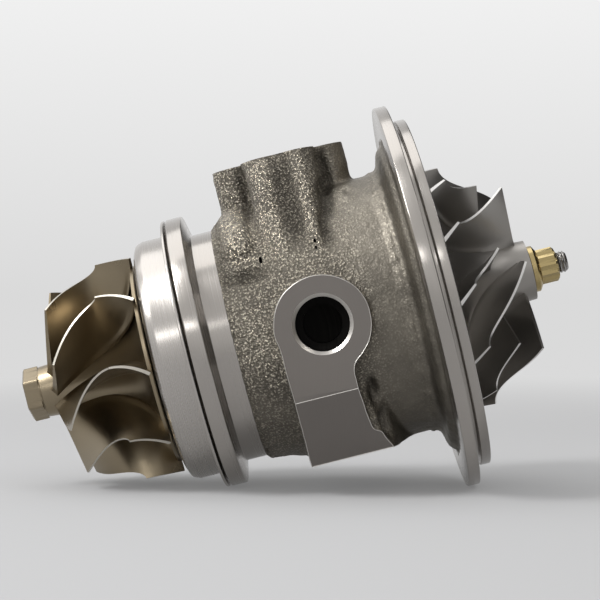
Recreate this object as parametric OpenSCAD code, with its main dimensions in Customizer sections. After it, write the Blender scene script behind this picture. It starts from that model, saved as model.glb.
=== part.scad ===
// Turbo cartridge, the centre section of an exhaust turbocharger.
// A cast housing carries one shaft with a turbine wheel and a compressor wheel.
// The rotor axis is X, the compressor end is +X and Z is up. All sizes are in mm.
// The origin is on the rotor axis, in the compressor-side face of the housing.

/* [Compressor flange] */
// Outer diameter of the clamping rim
flange_d = 89.8; // [87:0.2:93]
// Thickness of the clamping rim
flange_t = 2.75; // [2:0.05:3.5]
// Diameter of the register that centres the compressor cover
register_d = 81.8; // [79:0.2:84]
// Width of the register
register_w = 2.25; // [1.8:0.05:3]
// Width of the groove between the rim and the register
groove_w = 1.25; // [0.8:0.05:2]
// Depth of that groove below the register
groove_depth = 2.2; // [1:0.1:3]
// Diameter of the cast shoulder behind the rim
shoulder_d = 72.4; // [69:0.2:75]
// Width of the cast shoulder
shoulder_w = 3.2; // [2.6:0.1:4]

/* [Turbine flange] */
// Outer diameter of the clamp ring at the turbine end
clamp_ring_d = 63.4; // [62:0.2:66]
// Width of the clamp ring at its rim
clamp_ring_w = 3.6; // [3:0.1:4.5]
// Width of the sloped flank that the clamp band pulls on
clamp_flank_w = 1.1; // [0.8:0.1:1.6]
// Diameter of the machined neck behind the clamp ring
neck_d = 53.6; // [51:0.2:55]
// Length of the machined neck
neck_l = 4.9; // [4:0.1:6]

/* [Cast body] */
// Distance from the turbine clamp face to the compressor face
housing_l = 58.7; // [58:0.1:62]
// Diameter of the cast barrel at its turbine end
barrel_small_d = 55.6; // [54.4:0.2:57]
// Diameter of the cast barrel over the bearings
barrel_d = 60.6; // [59:0.2:63]
// Radius of the rounded lump over the water jacket
jacket_lump_r = 5.4; // [4.5:0.1:6]

/* [Oil inlet] */
// Distance of the oil inlet from the compressor face
inlet_x = 30.4; // [29.6:0.1:31.2]
// Height of the machined inlet face above the rotor axis
inlet_h = 39.4; // [38:0.2:42]
// Distance between the two feed pipe bolts
inlet_bolt_spacing = 20; // [19:0.2:22]
// Drill size of the feed pipe bolt holes
inlet_bolt_d = 5; // [4.2:0.1:6]
// Depth of the feed pipe bolt holes
inlet_bolt_depth = 10; // [7:0.5:12]
// Diameter of the ears around the bolt holes
inlet_ear_d = 11; // [10:0.2:12]
// Diameter of the feed hole in the inlet face
feed_d = 7; // [5:0.5:8]
// Width of the sloping buttress in front of the inlet
buttress_w = 17.4; // [15:0.2:19]
// Thickness of the buttress
buttress_t = 11.2; // [10:0.2:12]

/* [Water ports] */
// Distance of the water ports from the compressor face
port_x = 29.4; // [28.6:0.1:30.2]
// Distance of the machined port faces from the rotor axis
port_face_y = 32; // [31.2:0.2:34]
// Diameter of the round pad around a port
port_pad_d = 21.2; // [20:0.2:22.4]
// Drill size of the port thread
port_drill_d = 11.9; // [10.5:0.1:12.5]
// Diameter of the countersink at the port mouth
port_mouth_d = 13.4; // [13:0.1:15]
// Depth of the port thread
port_depth = 10; // [9:0.5:10.5]
// Diameter of the waterway behind the thread
waterway_d = 8.8; // [7:0.2:9.6]
// Length of the flat tongue below the port
tongue_l = 15.3; // [14:0.1:17]
// Width of that tongue
tongue_w = 14.3; // [13:0.1:15.5]

/* [Oil drain] */
// Distance of the drain from the compressor face
drain_x = 27.2; // [26.6:0.1:28]
// Distance of the machined drain face below the rotor axis
drain_h = 30; // [29.4:0.1:31]
// Diameter of the middle of the drain flange
drain_flange_d = 25.2; // [24:0.2:26]
// Distance between the two drain bolts
drain_bolt_spacing = 38; // [36:0.5:40]
// Drill size of the drain bolt holes
drain_bolt_d = 6.8; // [5:0.1:8]
// Depth of the drain bolt holes
drain_bolt_depth = 12; // [8:0.5:13]
// Diameter of the drain opening
drain_d = 16; // [14:0.5:18]

/* [Turbine wheel] */
// Diameter over the inlet edges of the turbine blades
turbine_d = 51.4; // [49:0.2:53]
// Diameter over the outlet edges of the turbine blades
turbine_outlet_d = 44.2; // [42:0.2:46]
// Length of the turbine blades along the shaft at the tip
turbine_tip_l = 20.2; // [18:0.1:22]
// Width of the turbine blades at their inlet edges
turbine_inlet_w = 8; // [6:0.1:9]
// Length of the turbine blades along the hub
turbine_hub_l = 23.8; // [22.5:0.1:25]
// Number of turbine blades
turbine_blades = 9; // [7:1:11]
// Thickness of the turbine blades at the tip
turbine_blade_t = 0.8; // [0.6:0.05:1.2]
// Width across the corners of the balancing hexagon
nose_hex_d = 12.6; // [11:0.1:13]
// Length of the balancing hexagon
nose_hex_l = 3.6; // [2.5:0.1:5]

/* [Heat shield] */
// Outer diameter of the drum
shield_d = 56.4; // [55:0.2:58]
// Diameter of the clamped lip
shield_lip_d = 63.2; // [61:0.2:63.4]
// Thickness of the sheet
shield_t = 1; // [0.7:0.05:1.2]
// Depth of the drum from the lip to the front
shield_depth = 8.9; // [8.4:0.1:9.6]
// Space between the heat shield and the turbine wheel
shield_gap = 0.7; // [0.4:0.05:1.2]

/* [Compressor wheel] */
// Diameter over the outlet edges of the compressor blades
compressor_d = 56.4; // [54:0.2:58]
// Diameter over the inlet edges of the compressor blades
compressor_inlet_d = 43.6; // [42:0.2:46]
// Height of the compressor blades at their outlet edges
compressor_outlet_w = 4.7; // [4:0.1:5.5]
// Length of the compressor blades along the shaft
compressor_blade_l = 17.1; // [16:0.1:18]
// Length of the hub in front of the blades
compressor_nose_l = 2.7; // [2:0.1:4]
// Diameter of the hub at its front
compressor_nose_d = 13.9; // [12.5:0.1:15]
// Number of full blades, with as many short blades between them
compressor_blades = 6; // [5:1:7]
// Thickness of the compressor blades at the tip
compressor_blade_t = 0.7; // [0.5:0.05:1]
// Thickness of the disc behind the blades
disc_t = 1.2; // [1:0.05:1.6]

/* [Shaft and bearings] */
// Diameter of the shaft in the journal bearings
journal_d = 8; // [7.6:0.1:8.4]
// Diameter of the thin end that carries the compressor wheel
stub_d = 5; // [4.6:0.1:5.4]
// Length of shaft that stands out of the nut
stub_end_l = 2.4; // [1.5:0.1:4]
// Diameter of the seal land at the turbine end
seal_land_d = 16; // [15.4:0.1:17]
// Outer diameter of the journal bearings
bearing_d = 12.4; // [12:0.1:12.8]
// Length of a journal bearing
bearing_l = 8.2; // [7:0.1:8.6]
// Running clearance on the radius inside and outside a bearing
running_gap = 0.04; // [0.03:0.01:0.08]
// Thickness of the retaining rings beside the bearings
ring_t = 1; // [0.8:0.05:1.2]

/* [Thrust parts] */
// Thickness of the thrust bearing
thrust_t = 4; // [3.4:0.1:4.6]
// Diameter of the thrust bearing and its pocket
thrust_d = 39.6; // [38.6:0.2:40.4]
// Diameter of the thrust collars on the shaft
collar_d = 16; // [14:0.2:17]
// Play between the thrust bearing and a collar
thrust_gap = 0.1; // [0.08:0.01:0.2]
// Diameter of the circle through the thrust screws
screw_circle_d = 29; // [28:0.2:30]

/* [Compressor side seal] */
// Diameter of the seal plate
seal_plate_d = 44; // [43:0.2:45]
// Thickness of the seal plate
seal_plate_t = 5; // [4.6:0.1:5.6]
// Thickness of the snap ring that holds the seal plate
snap_ring_t = 1.2; // [1:0.05:1.4]
// Diameter of the seal sleeve where the seal rings run
sleeve_d = 12.4; // [11.6:0.1:13]

/* [Compressor nut] */
// Diameter of the nut collar
nut_collar_d = 10.8; // [10:0.1:12]
// Thickness of the nut collar
nut_collar_t = 1.9; // [1.4:0.1:2.6]
// Width across the flats of the nut
nut_flats = 7; // [6.6:0.1:7.6]
// Height of the nut above its collar
nut_h = 4.2; // [3.5:0.1:5]

/* [Hidden] */
$fn = 96;
// Space between faces that belong to one fixed group
fit = 0.02;
// Broken edge on machined corners
edge = 0.4;

// Compressor flange, from the face back towards the turbine
rim_front_x = -register_w - groove_w;
rim_back_x = rim_front_x - flange_t;
shoulder_x = rim_back_x - shoulder_w;

// Turbine flange
clamp_face_x = -housing_l;
flank_x = clamp_face_x + clamp_ring_w;
neck_x = flank_x + clamp_flank_w;
cast_x = neck_x + neck_l;

// Compressor side stack, from the wheel back to the bearings
recess_depth = disc_t + 0.3;
recess_r = compressor_d / 2 + 0.6;
disc_front_x = 0.3;
disc_back_x = disc_front_x - disc_t;
snap_front_x = -recess_depth - 0.4;
plate_front_x = snap_front_x - snap_ring_t;
plate_back_x = plate_front_x - seal_plate_t;
deflector_t = 0.8;
thrust_front_x = plate_back_x - deflector_t;
thrust_back_x = thrust_front_x - thrust_t;
collar_front_x = thrust_front_x + thrust_gap + 1.6;
thrust_ring_front_x = thrust_back_x - thrust_gap;
thrust_ring_t = 2;
shaft_shoulder_x = thrust_ring_front_x - thrust_ring_t;
collar_pocket_x = shaft_shoulder_x - 0.6;
collar_pocket_r = collar_d / 2 + 1;
wheel_back_x = disc_back_x - 0.9;

// Bearings
bore_r = bearing_d / 2 + running_gap;
ring_groove_r = bore_r + 0.9;
bearing_b_x = collar_pocket_x - bearing_l - 0.5;
ring_b_x = bearing_b_x - ring_t - 0.2;
bearing_a_x = cast_x - 3.2;
ring_a_in_x = bearing_a_x + bearing_l + 0.2;
ring_a_out_x = bearing_a_x - ring_t - 0.2;

// Turbine end of the shaft
bore_end_x = ring_a_out_x - 0.8;
flinger_l = 2.4;
seal_bore_r = seal_land_d / 2 + 0.25;
seal_bore_x = bore_end_x - flinger_l;
nose_end_x = seal_bore_x - 7.4;
land_x = bore_end_x - 0.8;
seal_ring_t = 1.5;
seal_ring_x = (seal_bore_x + nose_end_x) / 2;
shield_front_x = clamp_face_x - shield_depth;
turbine_back_x = shield_front_x - shield_gap;
weld_x = turbine_back_x + 1.6;

// Turbine wheel
turbine_disc_t = 0.9;
turbine_r = turbine_d / 2;
turbine_disc_r = turbine_r - 2.4;
turbine_hub_x = turbine_back_x - turbine_disc_t;
turbine_kink_x = turbine_hub_x - turbine_inlet_w;
turbine_tip_x = turbine_hub_x - turbine_tip_l;
turbine_end_x = turbine_hub_x - turbine_hub_l;
turbine_hub_r = nose_hex_d / 2 - 0.2;
nose_l = 3.2;
nose_x = turbine_end_x - nose_l - nose_hex_l;

// Compressor wheel and nut
compressor_r = compressor_d / 2;
compressor_tip_x = disc_front_x + compressor_outlet_w;
compressor_edge_x = disc_front_x + compressor_blade_l;
compressor_nose_x = compressor_edge_x + compressor_nose_l;
nut_x = compressor_nose_x + 0.3;
nut_top_x = nut_x + nut_collar_t + nut_h;
shaft_end_x = nut_top_x + stub_end_l;

// Which node to draw, or all of them

// Points of a round stretch in a profile
function arc(centre, r, from, to, steps) =
    [for (i = [0:steps]) let (a = from + (to - from) * i / steps)
        centre + r * [cos(a), sin(a)]];

// Point on a quarter ellipse that leaves along the radius and ends along the axis
function quarter(from, to, u) =
    [from[0] + (to[0] - from[0]) * (1 - cos(90 * u)), from[1] + (to[1] - from[1]) * sin(90 * u)];

// Point at a distance along the shaft, a radius and an angle from the top to the front
function polar(x, r, angle) = [x, -r * sin(angle), r * cos(angle)];

function unit(v) = v / norm(v);

function mix(a, b, u) = a + (b - a) * u;

// Turns a profile of [radius, x] points about the rotor axis
module revolve(points) {
    rotate([0, 90, 0]) rotate_extrude() polygon(points);
}

// Cylinder on the rotor axis
module bar(x0, x1, r) {
    translate([x0, 0, 0]) rotate([0, 90, 0]) cylinder(r = r, h = x1 - x0);
}

// Ring on the rotor axis
module ring(x0, x1, r_in, r_out) {
    difference() {
        bar(x0, x1, r_out);
        bar(x0 - 1, x1 + 1, r_in);
    }
}

// Closed blade between a hub line and a tip line, thickened about its middle surface
// middle(m, s) gives a point for m along the blade and s from the hub out to the tip
module blade(middle, m_start, root_s, root_t, tip_t, along, out) {
    step = 0.01;
    places = [for (i = [0:along]) for (j = [0:out])
        [mix(m_start, 1, i / along), mix(root_s, 1, j / out)]];
    half = [for (p = places) mix(root_t, tip_t, max(0, p[1])) / 2];
    side = [for (p = places) unit(cross(
        middle(p[0] + step, p[1]) - middle(p[0] - step, p[1]),
        middle(p[0], p[1] + step) - middle(p[0], p[1] - step)))];
    points = [for (e = [1, -1]) for (k = [0:len(places) - 1])
        middle(places[k][0], places[k][1]) + e * half[k] * side[k]];
    row = out + 1;
    back = len(places);
    quads = concat(
        [for (i = [0:along - 1]) for (j = [0:out - 1])
            [i * row + j, i * row + j + 1, (i + 1) * row + j + 1, (i + 1) * row + j]],
        [for (i = [0:along - 1]) for (j = [0:out - 1])
            [back + i * row + j, back + (i + 1) * row + j,
             back + (i + 1) * row + j + 1, back + i * row + j + 1]],
        [for (i = [0:along - 1]) each [
            [i * row, (i + 1) * row, back + (i + 1) * row, back + i * row],
            [i * row + out, back + i * row + out,
             back + (i + 1) * row + out, (i + 1) * row + out]]],
        [for (j = [0:out - 1]) each [
            [j, back + j, back + j + 1, j + 1],
            [along * row + j, along * row + j + 1,
             back + along * row + j + 1, back + along * row + j]]]);
    polyhedron(points, [for (q = quads) each [[q[0], q[1], q[2]], [q[0], q[2], q[3]]]]);
}

// Outline of a flange with two bolt ears on a line along Y
module two_ear_outline(middle_d, spacing, ear_d) {
    lean = acos((middle_d - ear_d) / spacing);
    circle(d = middle_d);
    for (e = [-1, 1]) {
        translate([0, e * spacing / 2]) circle(d = ear_d);
        polygon([
            middle_d / 2 * [sin(lean), e * cos(lean)],
            [0, e * spacing / 2] + ear_d / 2 * [sin(lean), e * cos(lean)],
            [0, e * spacing / 2] + ear_d / 2 * [-sin(lean), e * cos(lean)],
            middle_d / 2 * [-sin(lean), e * cos(lean)],
            [0, 0]]);
    }
}

// Turned outside of the casting from the clamp ring to the compressor face
module turned_body() {
    r = flange_d / 2;
    register_r = register_d / 2;
    shoulder_r = shoulder_d / 2;
    barrel_r = barrel_d / 2;
    hollow = (shoulder_x - cast_x) * 0.045 + 0.9;
    revolve(concat(
        [[0, clamp_face_x],
         [clamp_ring_d / 2 - edge, clamp_face_x],
         [clamp_ring_d / 2, clamp_face_x + edge],
         [clamp_ring_d / 2, flank_x],
         [neck_d / 2, neck_x],
         [neck_d / 2, cast_x]],
        arc([barrel_small_d / 2 - 1, cast_x + 1.2], 1, -80, 0, 3),
        [[barrel_small_d / 2 + 0.4, cast_x + 5],
         [barrel_r - 0.6, cast_x + 12],
         [barrel_r, cast_x + 17],
         [barrel_r, shoulder_x - 1.6]],
        arc([barrel_r + hollow, shoulder_x - 1.6], hollow, 180, 90, 5),
        [[shoulder_r - 1.2, shoulder_x - 1.6 + hollow + 0.4],
         [shoulder_r - 0.3, shoulder_x + 2.2 + 0.2],
         [shoulder_r, rim_back_x],
         [r - edge, rim_back_x],
         [r, rim_back_x + edge],
         [r, rim_front_x - edge],
         [r - edge, rim_front_x],
         [register_r - groove_depth, rim_front_x],
         [register_r - groove_depth, -register_w],
         [register_r - edge / 2, -register_w],
         [register_r, -register_w + edge / 2],
         [register_r, 0],
         [0, 0]]));
}

// Boss with the machined oil inlet face, its two ears and the sloping buttress
module inlet_boss() {
    spread = inlet_bolt_spacing / 2;
    translate([-inlet_x, 0, 0]) {
        linear_extrude(inlet_h) {
            circle(d = inlet_ear_d + 7);
            for (e = [-1, 1]) translate([e * spread, 0]) circle(d = inlet_ear_d);
            square([inlet_bolt_spacing, inlet_ear_d - 1.4], center = true);
        }
        buttress();
    }
}

// Buttress from the inlet face down to the pad of the front water port
module buttress() {
    top_y = -7.4;
    foot_y = -port_face_y + 8;
    foot_z = 8;
    lean = atan((top_y - foot_y) / (inlet_h - foot_z));
    side = (buttress_w - buttress_t) / 2;
    intersection() {
        translate([0, foot_y, foot_z]) rotate([-lean, 0, 0])
            translate([0, 0, -6]) linear_extrude(inlet_h + 20) {
                for (e = [-1, 1]) translate([e * side, 0]) circle(d = buttress_t);
                square([2 * side, buttress_t - 0.5], center = true);
            }
        translate([-buttress_w, -port_face_y, 0])
            cube([2 * buttress_w, 2 * port_face_y, inlet_h]);
    }
}

// Outline of a water port pad with the tongue that runs down to the drain, from the front
module port_outline() {
    r = port_pad_d / 2;
    left = -r + 0.4;
    right = left + tongue_w;
    round_r = 4;
    round_x = right + round_r;
    round_z = -sqrt((r + round_r - 0.15) ^ 2 - round_x ^ 2);
    turn = atan2(-round_z, -round_x);
    circle(r = r);
    polygon(concat(
        [[left, 0], [left + 0.3, -tongue_l], [left + 0.3, -drain_h - 1],
         [right + 1.2, -drain_h - 1], [right, -tongue_l]],
        arc([round_x, round_z], round_r, 180, turn, 6),
        [[0, -r / 2]]));
}

// Pad of a water port, with its lower half sloping back to the drain flange
module port_pad() {
    slope = atan(8 / (drain_h - tongue_l));
    difference() {
        translate([-port_x, -port_face_y, 0]) rotate([90, 0, 0])
            translate([0, 0, -port_face_y + 12]) linear_extrude(port_face_y - 12) port_outline();
        translate([-port_x, -port_face_y, -tongue_l]) rotate([slope, 0, 0])
            translate([-20, -20, -30]) cube([40, 20, 30]);
    }
}

// Rounded lump of the casting over the water jacket at the turbine end
module jacket_lump() {
    ring_r = barrel_d / 2 - jacket_lump_r;
    x = cast_x + jacket_lump_r + 0.4;
    translate([x, 0, 0]) {
        rotate([0, 90, 0]) rotate([0, 0, 160])
            rotate_extrude(angle = 62) translate([ring_r, 0]) circle(r = jacket_lump_r);
        for (a = [-20, 42]) translate(polar(0, ring_r, a)) sphere(r = jacket_lump_r + 0.15);
    }
}

// Everything that is cut out of the casting on the rotor axis
module rotor_passage() {
    // compressor side, from the face in
    bar(-recess_depth, 1, recess_r);
    bar(plate_back_x, 1, seal_plate_d / 2);
    bar(plate_front_x, snap_front_x, seal_plate_d / 2 + 1.3);
    bar(thrust_back_x, 0, thrust_d / 2 + 0.2);
    bar(collar_pocket_x, 0, collar_pocket_r);
    // bearing bore and its retaining ring grooves
    bar(bore_end_x - 1, 0, bore_r);
    for (x = [ring_b_x, ring_a_in_x, ring_a_out_x])
        bar(x - 0.02, x + ring_t + 0.02, ring_groove_r);
    // turbine side, where the oil is thrown off and the seal ring runs
    bar(seal_bore_x, bore_end_x, seal_bore_r + 1.6);
    bar(nose_end_x - 5, seal_bore_x + 0.1, seal_bore_r);
}

// Oilways from the inlet to the bearings and from the bearings to the drain
module oil_passages() {
    mid_z = bore_r + 10;
    translate([-inlet_x, 0, mid_z]) cylinder(d = feed_d, h = inlet_h);
    for (x = [bearing_a_x + bearing_l / 2, bearing_b_x + bearing_l / 2])
        drilling([-inlet_x, 0, mid_z + 1.6], [x, 0, bore_r - 1.5], 1.5);
    drilling([-inlet_x, 0, mid_z + 1.6], [thrust_back_x + 0.5, 0, mid_z - 4], 1);
    translate([-drain_x, 0, -drain_h - 1]) cylinder(d = drain_d, h = drain_h - 12);
    translate([ring_a_in_x + ring_t + 1.4, -4, -16])
        cube([ring_b_x - ring_a_in_x - ring_t - 2.8, 8, 12]);
    translate([-drain_x, -5, -17.5]) cube([drain_x + thrust_back_x + 1, 10, 7]);
    for (e = [-1, 1]) translate([-inlet_x + e * inlet_bolt_spacing / 2, 0, inlet_h - inlet_bolt_depth])
        cylinder(d = inlet_bolt_d, h = inlet_bolt_depth + 1);
    for (e = [-1, 1]) translate([-drain_x, e * drain_bolt_spacing / 2, -drain_h - 1])
        cylinder(d = drain_bolt_d, h = drain_bolt_depth + 1);
}

// Round drilling between two points in the plane of the rotor axis
module drilling(from, to, r) {
    run = to - from;
    translate(from) rotate([0, atan2(run[0], run[2]), 0]) cylinder(r = r, h = norm(run));
}

// Water ports and the ring of water around the turbine bearing
module water_passages() {
    mouth_depth = (port_mouth_d - port_drill_d) / 2;
    for (e = [-1, 1]) {
        translate([-port_x, e * port_face_y, 0]) rotate([-90 * e, 0, 0]) {
            translate([0, 0, -port_depth]) cylinder(d = port_drill_d, h = port_depth + 1);
            translate([0, 0, -port_face_y + bore_r + 11])
                cylinder(d = waterway_d, h = port_face_y - bore_r - 12);
            translate([0, 0, -mouth_depth])
                cylinder(d1 = port_drill_d, d2 = port_mouth_d + 2, h = mouth_depth + 1);
        }
        intersection() {
            ring(cast_x + 4, -port_x + 3, bore_r + 9, barrel_d / 2 - 9.5);
            translate([-60, e * 30 - 30, -5]) cube([60, 60, 10]);
        }
    }
    ring(cast_x + 2.5, cast_x + 9, bore_r + 8, barrel_small_d / 2 - 6);
}

// Cast and machined bearing housing
module center_housing() {
    // Turbine-side end of the cut that machines the drain face
    drain_cut_x = cast_x + 2.9;
    color("#6e655c") difference() {
        union() {
            difference() {
                union() {
                    turned_body();
                    inlet_boss();
                    port_pad();
                    mirror([0, 1, 0]) port_pad();
                    jacket_lump();
                    translate([-drain_x, 0, -drain_h - 1]) linear_extrude(drain_h - 9)
                        two_ear_outline(drain_flange_d, drain_bolt_spacing, 16);
                }
                translate([drain_cut_x, -flange_d / 2, -drain_h - flange_d / 4])
                    cube([shoulder_x - 2.25 - drain_cut_x, flange_d, flange_d / 4]);
            }
            bar(nose_end_x, clamp_face_x + 6, seal_bore_r + 4);
        }
        revolve([[seal_bore_r + 4, clamp_face_x - 1], [neck_d / 2 - 2.6, clamp_face_x - 1],
                 [neck_d / 2 - 2.6, clamp_face_x + 2.4], [seal_bore_r + 5.5, clamp_face_x + 3.6],
                 [seal_bore_r + 4, clamp_face_x + 3.6]]);
        rotor_passage();
        oil_passages();
        water_passages();
        for (i = [0:2]) rotate([120 * i + 60, 0, 0])
            translate([0, 0, screw_circle_d / 2]) bar(thrust_back_x - 7, thrust_back_x + 1, 1.5 + fit);
    }
}

// Pressed sheet heat shield behind the turbine wheel
module heat_shield() {
    r = shield_d / 2;
    front = shield_front_x;
    bend = 2;
    color("#a8a29a") revolve(concat(
        [[seal_bore_r + 1.6, front], [seal_bore_r + 1.6, front + shield_t]],
        arc([r - bend, front + bend], bend - shield_t, -90, 0, 4),
        [[r - shield_t, clamp_face_x - 0.02],
         [shield_lip_d / 2 - 0.3, clamp_face_x - 0.02],
         [shield_lip_d / 2, clamp_face_x - 0.32],
         [shield_lip_d / 2, clamp_face_x - shield_t + 0.3],
         [shield_lip_d / 2 - 0.3, clamp_face_x - shield_t]],
        [[r + 0.4, clamp_face_x - shield_t], [r, clamp_face_x - shield_t - 0.4]],
        arc([r - bend, front + bend], bend, 0, -90, 5)));
}

// Middle surface of a turbine blade
function turbine_bend(x) =
    let (d = x - turbine_kink_x) (d < 0 ? 0.2 : 0.106) * d * d;
function turbine_middle(m, s) =
    let (hub = quarter([turbine_hub_x, turbine_r], [turbine_end_x, turbine_hub_r], m),
         tip = quarter([turbine_kink_x, turbine_r], [turbine_tip_x, turbine_outlet_d / 2], m),
         p = mix(hub, tip, s))
    polar(p[0], p[1], turbine_bend(p[0]));

// Turbine wheel with its balancing hexagon, welded to the shaft
module turbine_wheel() {
    hub = [for (i = [0:11])
        quarter([turbine_hub_x, turbine_disc_r], [turbine_end_x, turbine_hub_r], i / 11)];
    color("#5a5142") union() {
        revolve(concat(
            [[0, weld_x], [seal_land_d / 2, weld_x], [seal_land_d / 2 + 1, turbine_back_x],
             [turbine_disc_r, turbine_back_x]],
            [for (p = hub) [p[1], p[0]]],
            [[turbine_hub_r - 0.2, turbine_end_x - nose_l],
             [0, turbine_end_x - nose_l]]));
        translate([nose_x, 0, 0]) rotate([0, 90, 0])
            cylinder(d = nose_hex_d, h = nose_hex_l + 0.5, $fn = 6);
        for (i = [0:turbine_blades - 1]) rotate([360 / turbine_blades * i + 45.7, 0, 0])
            blade(function(m, s) turbine_middle(m, s), 0, -0.06, 1.9, turbine_blade_t, 12, 4);
    }
}

// Shaft with the seal land, the journals and the thin compressor end
module rotor_shaft() {
    r = journal_d / 2;
    mid_a = ring_a_in_x + ring_t + 1;
    mid_b = ring_b_x - 1;
    groove_x = seal_ring_x - seal_ring_t / 2 - 0.1;
    color("#b4b0a8") revolve([
        [0, weld_x], [seal_land_d / 2, weld_x],
        [seal_land_d / 2, groove_x], [seal_land_d / 2 - 2.2, groove_x],
        [seal_land_d / 2 - 2.2, groove_x + seal_ring_t + 0.2],
        [seal_land_d / 2, groove_x + seal_ring_t + 0.2],
        [seal_land_d / 2, land_x - 1], [seal_land_d / 2 - 1, land_x],
        [r + 0.8, land_x], [r, land_x + 0.8],
        [r, mid_a], [r - 0.4, mid_a + 0.4], [r - 0.4, mid_b - 0.4], [r, mid_b],
        [r, shaft_shoulder_x], [stub_d / 2, shaft_shoulder_x],
        [stub_d / 2, shaft_end_x - 0.6], [stub_d / 2 - 0.6, shaft_end_x], [0, shaft_end_x]]);
}

// Split seal ring, with a gap where it is sprung into its groove
module split_ring(x, t, r_in, r_out, gap) {
    difference() {
        ring(x - t / 2, x + t / 2, r_in, r_out);
        translate([x - t, -gap / 2, 0]) cube([2 * t, gap, r_out + 1]);
    }
}

module turbine_seal_ring() {
    color("#8b8680") split_ring(seal_ring_x, seal_ring_t, seal_land_d / 2 - 1.6, seal_bore_r - fit, 0.3);
}

// Floating bronze bush with oil holes
module journal_bearing(x) {
    difference() {
        ring(x, x + bearing_l, journal_d / 2 + running_gap, bearing_d / 2);
        for (i = [0:2]) rotate([60 * i, 0, 0])
            translate([x + bearing_l / 2, 0, -bearing_d]) cylinder(d = 2, h = 2 * bearing_d);
    }
}

module turbine_journal_bearing() {
    color("#a9803f") journal_bearing(bearing_a_x);
}

module compressor_journal_bearing() {
    color("#a9803f") journal_bearing(bearing_b_x);
}

// Sprung wire ring that keeps a bearing in place
module retaining_ring(x) {
    color("#7d7a75") split_ring(x + ring_t / 2, ring_t, bore_r - 1.1, ring_groove_r - fit, 4);
}

module retaining_ring_turbine_outer() {
    retaining_ring(ring_a_out_x);
}

module retaining_ring_turbine_inner() {
    retaining_ring(ring_a_in_x);
}

module retaining_ring_compressor() {
    retaining_ring(ring_b_x);
}

// Hardened ring between the shaft shoulder and the thrust bearing
module thrust_ring() {
    color("#c2beb6") ring(shaft_shoulder_x, thrust_ring_front_x, stub_d / 2 + fit, collar_d / 2);
}

// Bronze thrust plate with its oil groove and three screw holes
module thrust_bearing() {
    hub_r = sleeve_d / 2 - 1.4;
    color("#b08a45") difference() {
        bar(thrust_back_x, thrust_front_x, thrust_d / 2);
        bar(thrust_back_x - 1, thrust_front_x + 1, hub_r + 0.3);
        translate([thrust_back_x - 1, -20, -thrust_d / 2 - 8]) cube([thrust_t + 2, 40, 12]);
        for (i = [0:2]) rotate([120 * i + 60, 0, 0]) translate([0, 0, screw_circle_d / 2]) {
            bar(thrust_back_x - 1, thrust_front_x + 1, 1.5 + 2 * fit);
            bar(thrust_front_x - 1.7, thrust_front_x + 1, 2.9);
        }
        translate([(thrust_back_x + thrust_front_x) / 2, 0, hub_r]) cylinder(d = 1.6, h = thrust_d);
    }
}

// Cap screw that holds the thrust bearing to the housing
module thrust_screw(i) {
    color("#55524e") rotate([120 * i + 60, 0, 0]) translate([0, 0, screw_circle_d / 2]) difference() {
        union() {
            bar(thrust_back_x - 6.4, thrust_front_x - 1.6, 1.5);
            bar(thrust_front_x - 1.7 + fit, thrust_front_x - 0.1, 2.7);
        }
        translate([thrust_front_x - 1, 0, 0]) rotate([0, 90, 0]) cylinder(d = 2.4, h = 2, $fn = 6);
    }
}

module thrust_screw_1() {
    thrust_screw(0);
}

module thrust_screw_2() {
    thrust_screw(1);
}

module thrust_screw_3() {
    thrust_screw(2);
}

// Sheet that keeps thrown oil away from the compressor seal
module oil_deflector() {
    color("#96918a") difference() {
        bar(thrust_front_x + fit, plate_back_x - fit, thrust_d / 2 - 0.2);
        bar(thrust_front_x - 1, plate_back_x + 1, collar_d / 2 + 0.8);
        translate([thrust_front_x - 1, -20, -thrust_d / 2 - 9]) cube([4, 40, 12]);
    }
}

// Sleeve that carries the outer thrust collar and the seal ring groove
module thrust_sleeve() {
    r = sleeve_d / 2;
    groove_x = (plate_front_x + collar_front_x) / 2 - 0.7;
    color("#b9b5ad") revolve([
        [stub_d / 2 + fit, thrust_ring_front_x], [r - 1.4, thrust_ring_front_x],
        [r - 1.4, thrust_front_x + thrust_gap], [collar_d / 2, thrust_front_x + thrust_gap],
        [collar_d / 2, collar_front_x - 0.3], [collar_d / 2 - 0.3, collar_front_x], [r, collar_front_x],
        [r, groove_x], [r - 1.5, groove_x], [r - 1.5, groove_x + 1.4], [r, groove_x + 1.4],
        [r, wheel_back_x - 0.4], [r - 0.4, wheel_back_x], [stub_d / 2 + fit, wheel_back_x]]);
}

module compressor_seal_ring() {
    x = (plate_front_x + collar_front_x) / 2;
    color("#8b8680") split_ring(x, 1.2, sleeve_d / 2 - 1.2, sleeve_d / 2 + 0.2 - fit, 0.3);
}

// Plate that closes the oil space behind the compressor wheel
module seal_plate() {
    groove_x = (plate_front_x + plate_back_x) / 2;
    r = seal_plate_d / 2 - fit;
    color("#9a958d") revolve([
        [sleeve_d / 2 + 0.2, plate_front_x - 0.4],
        [sleeve_d / 2 + 0.6, plate_front_x], [r - edge, plate_front_x],
        [r, plate_front_x - edge], [r, groove_x + 1.1], [r - 1.5, groove_x + 1.1],
        [r - 1.5, groove_x - 1.1], [r, groove_x - 1.1], [r, plate_back_x + fit],
        [collar_d / 2 + 0.8, plate_back_x + fit], [collar_d / 2 + 0.8, collar_front_x + 0.5],
        [sleeve_d / 2 + 0.2, collar_front_x + 0.5]]);
}

// Rubber ring in the groove of the seal plate
module seal_plate_o_ring() {
    x = (plate_front_x + plate_back_x) / 2;
    color("#1d1d1f") translate([x, 0, 0]) rotate([0, 90, 0]) rotate_extrude()
        translate([seal_plate_d / 2 - 0.78, 0]) circle(r = 0.72);
}

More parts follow.
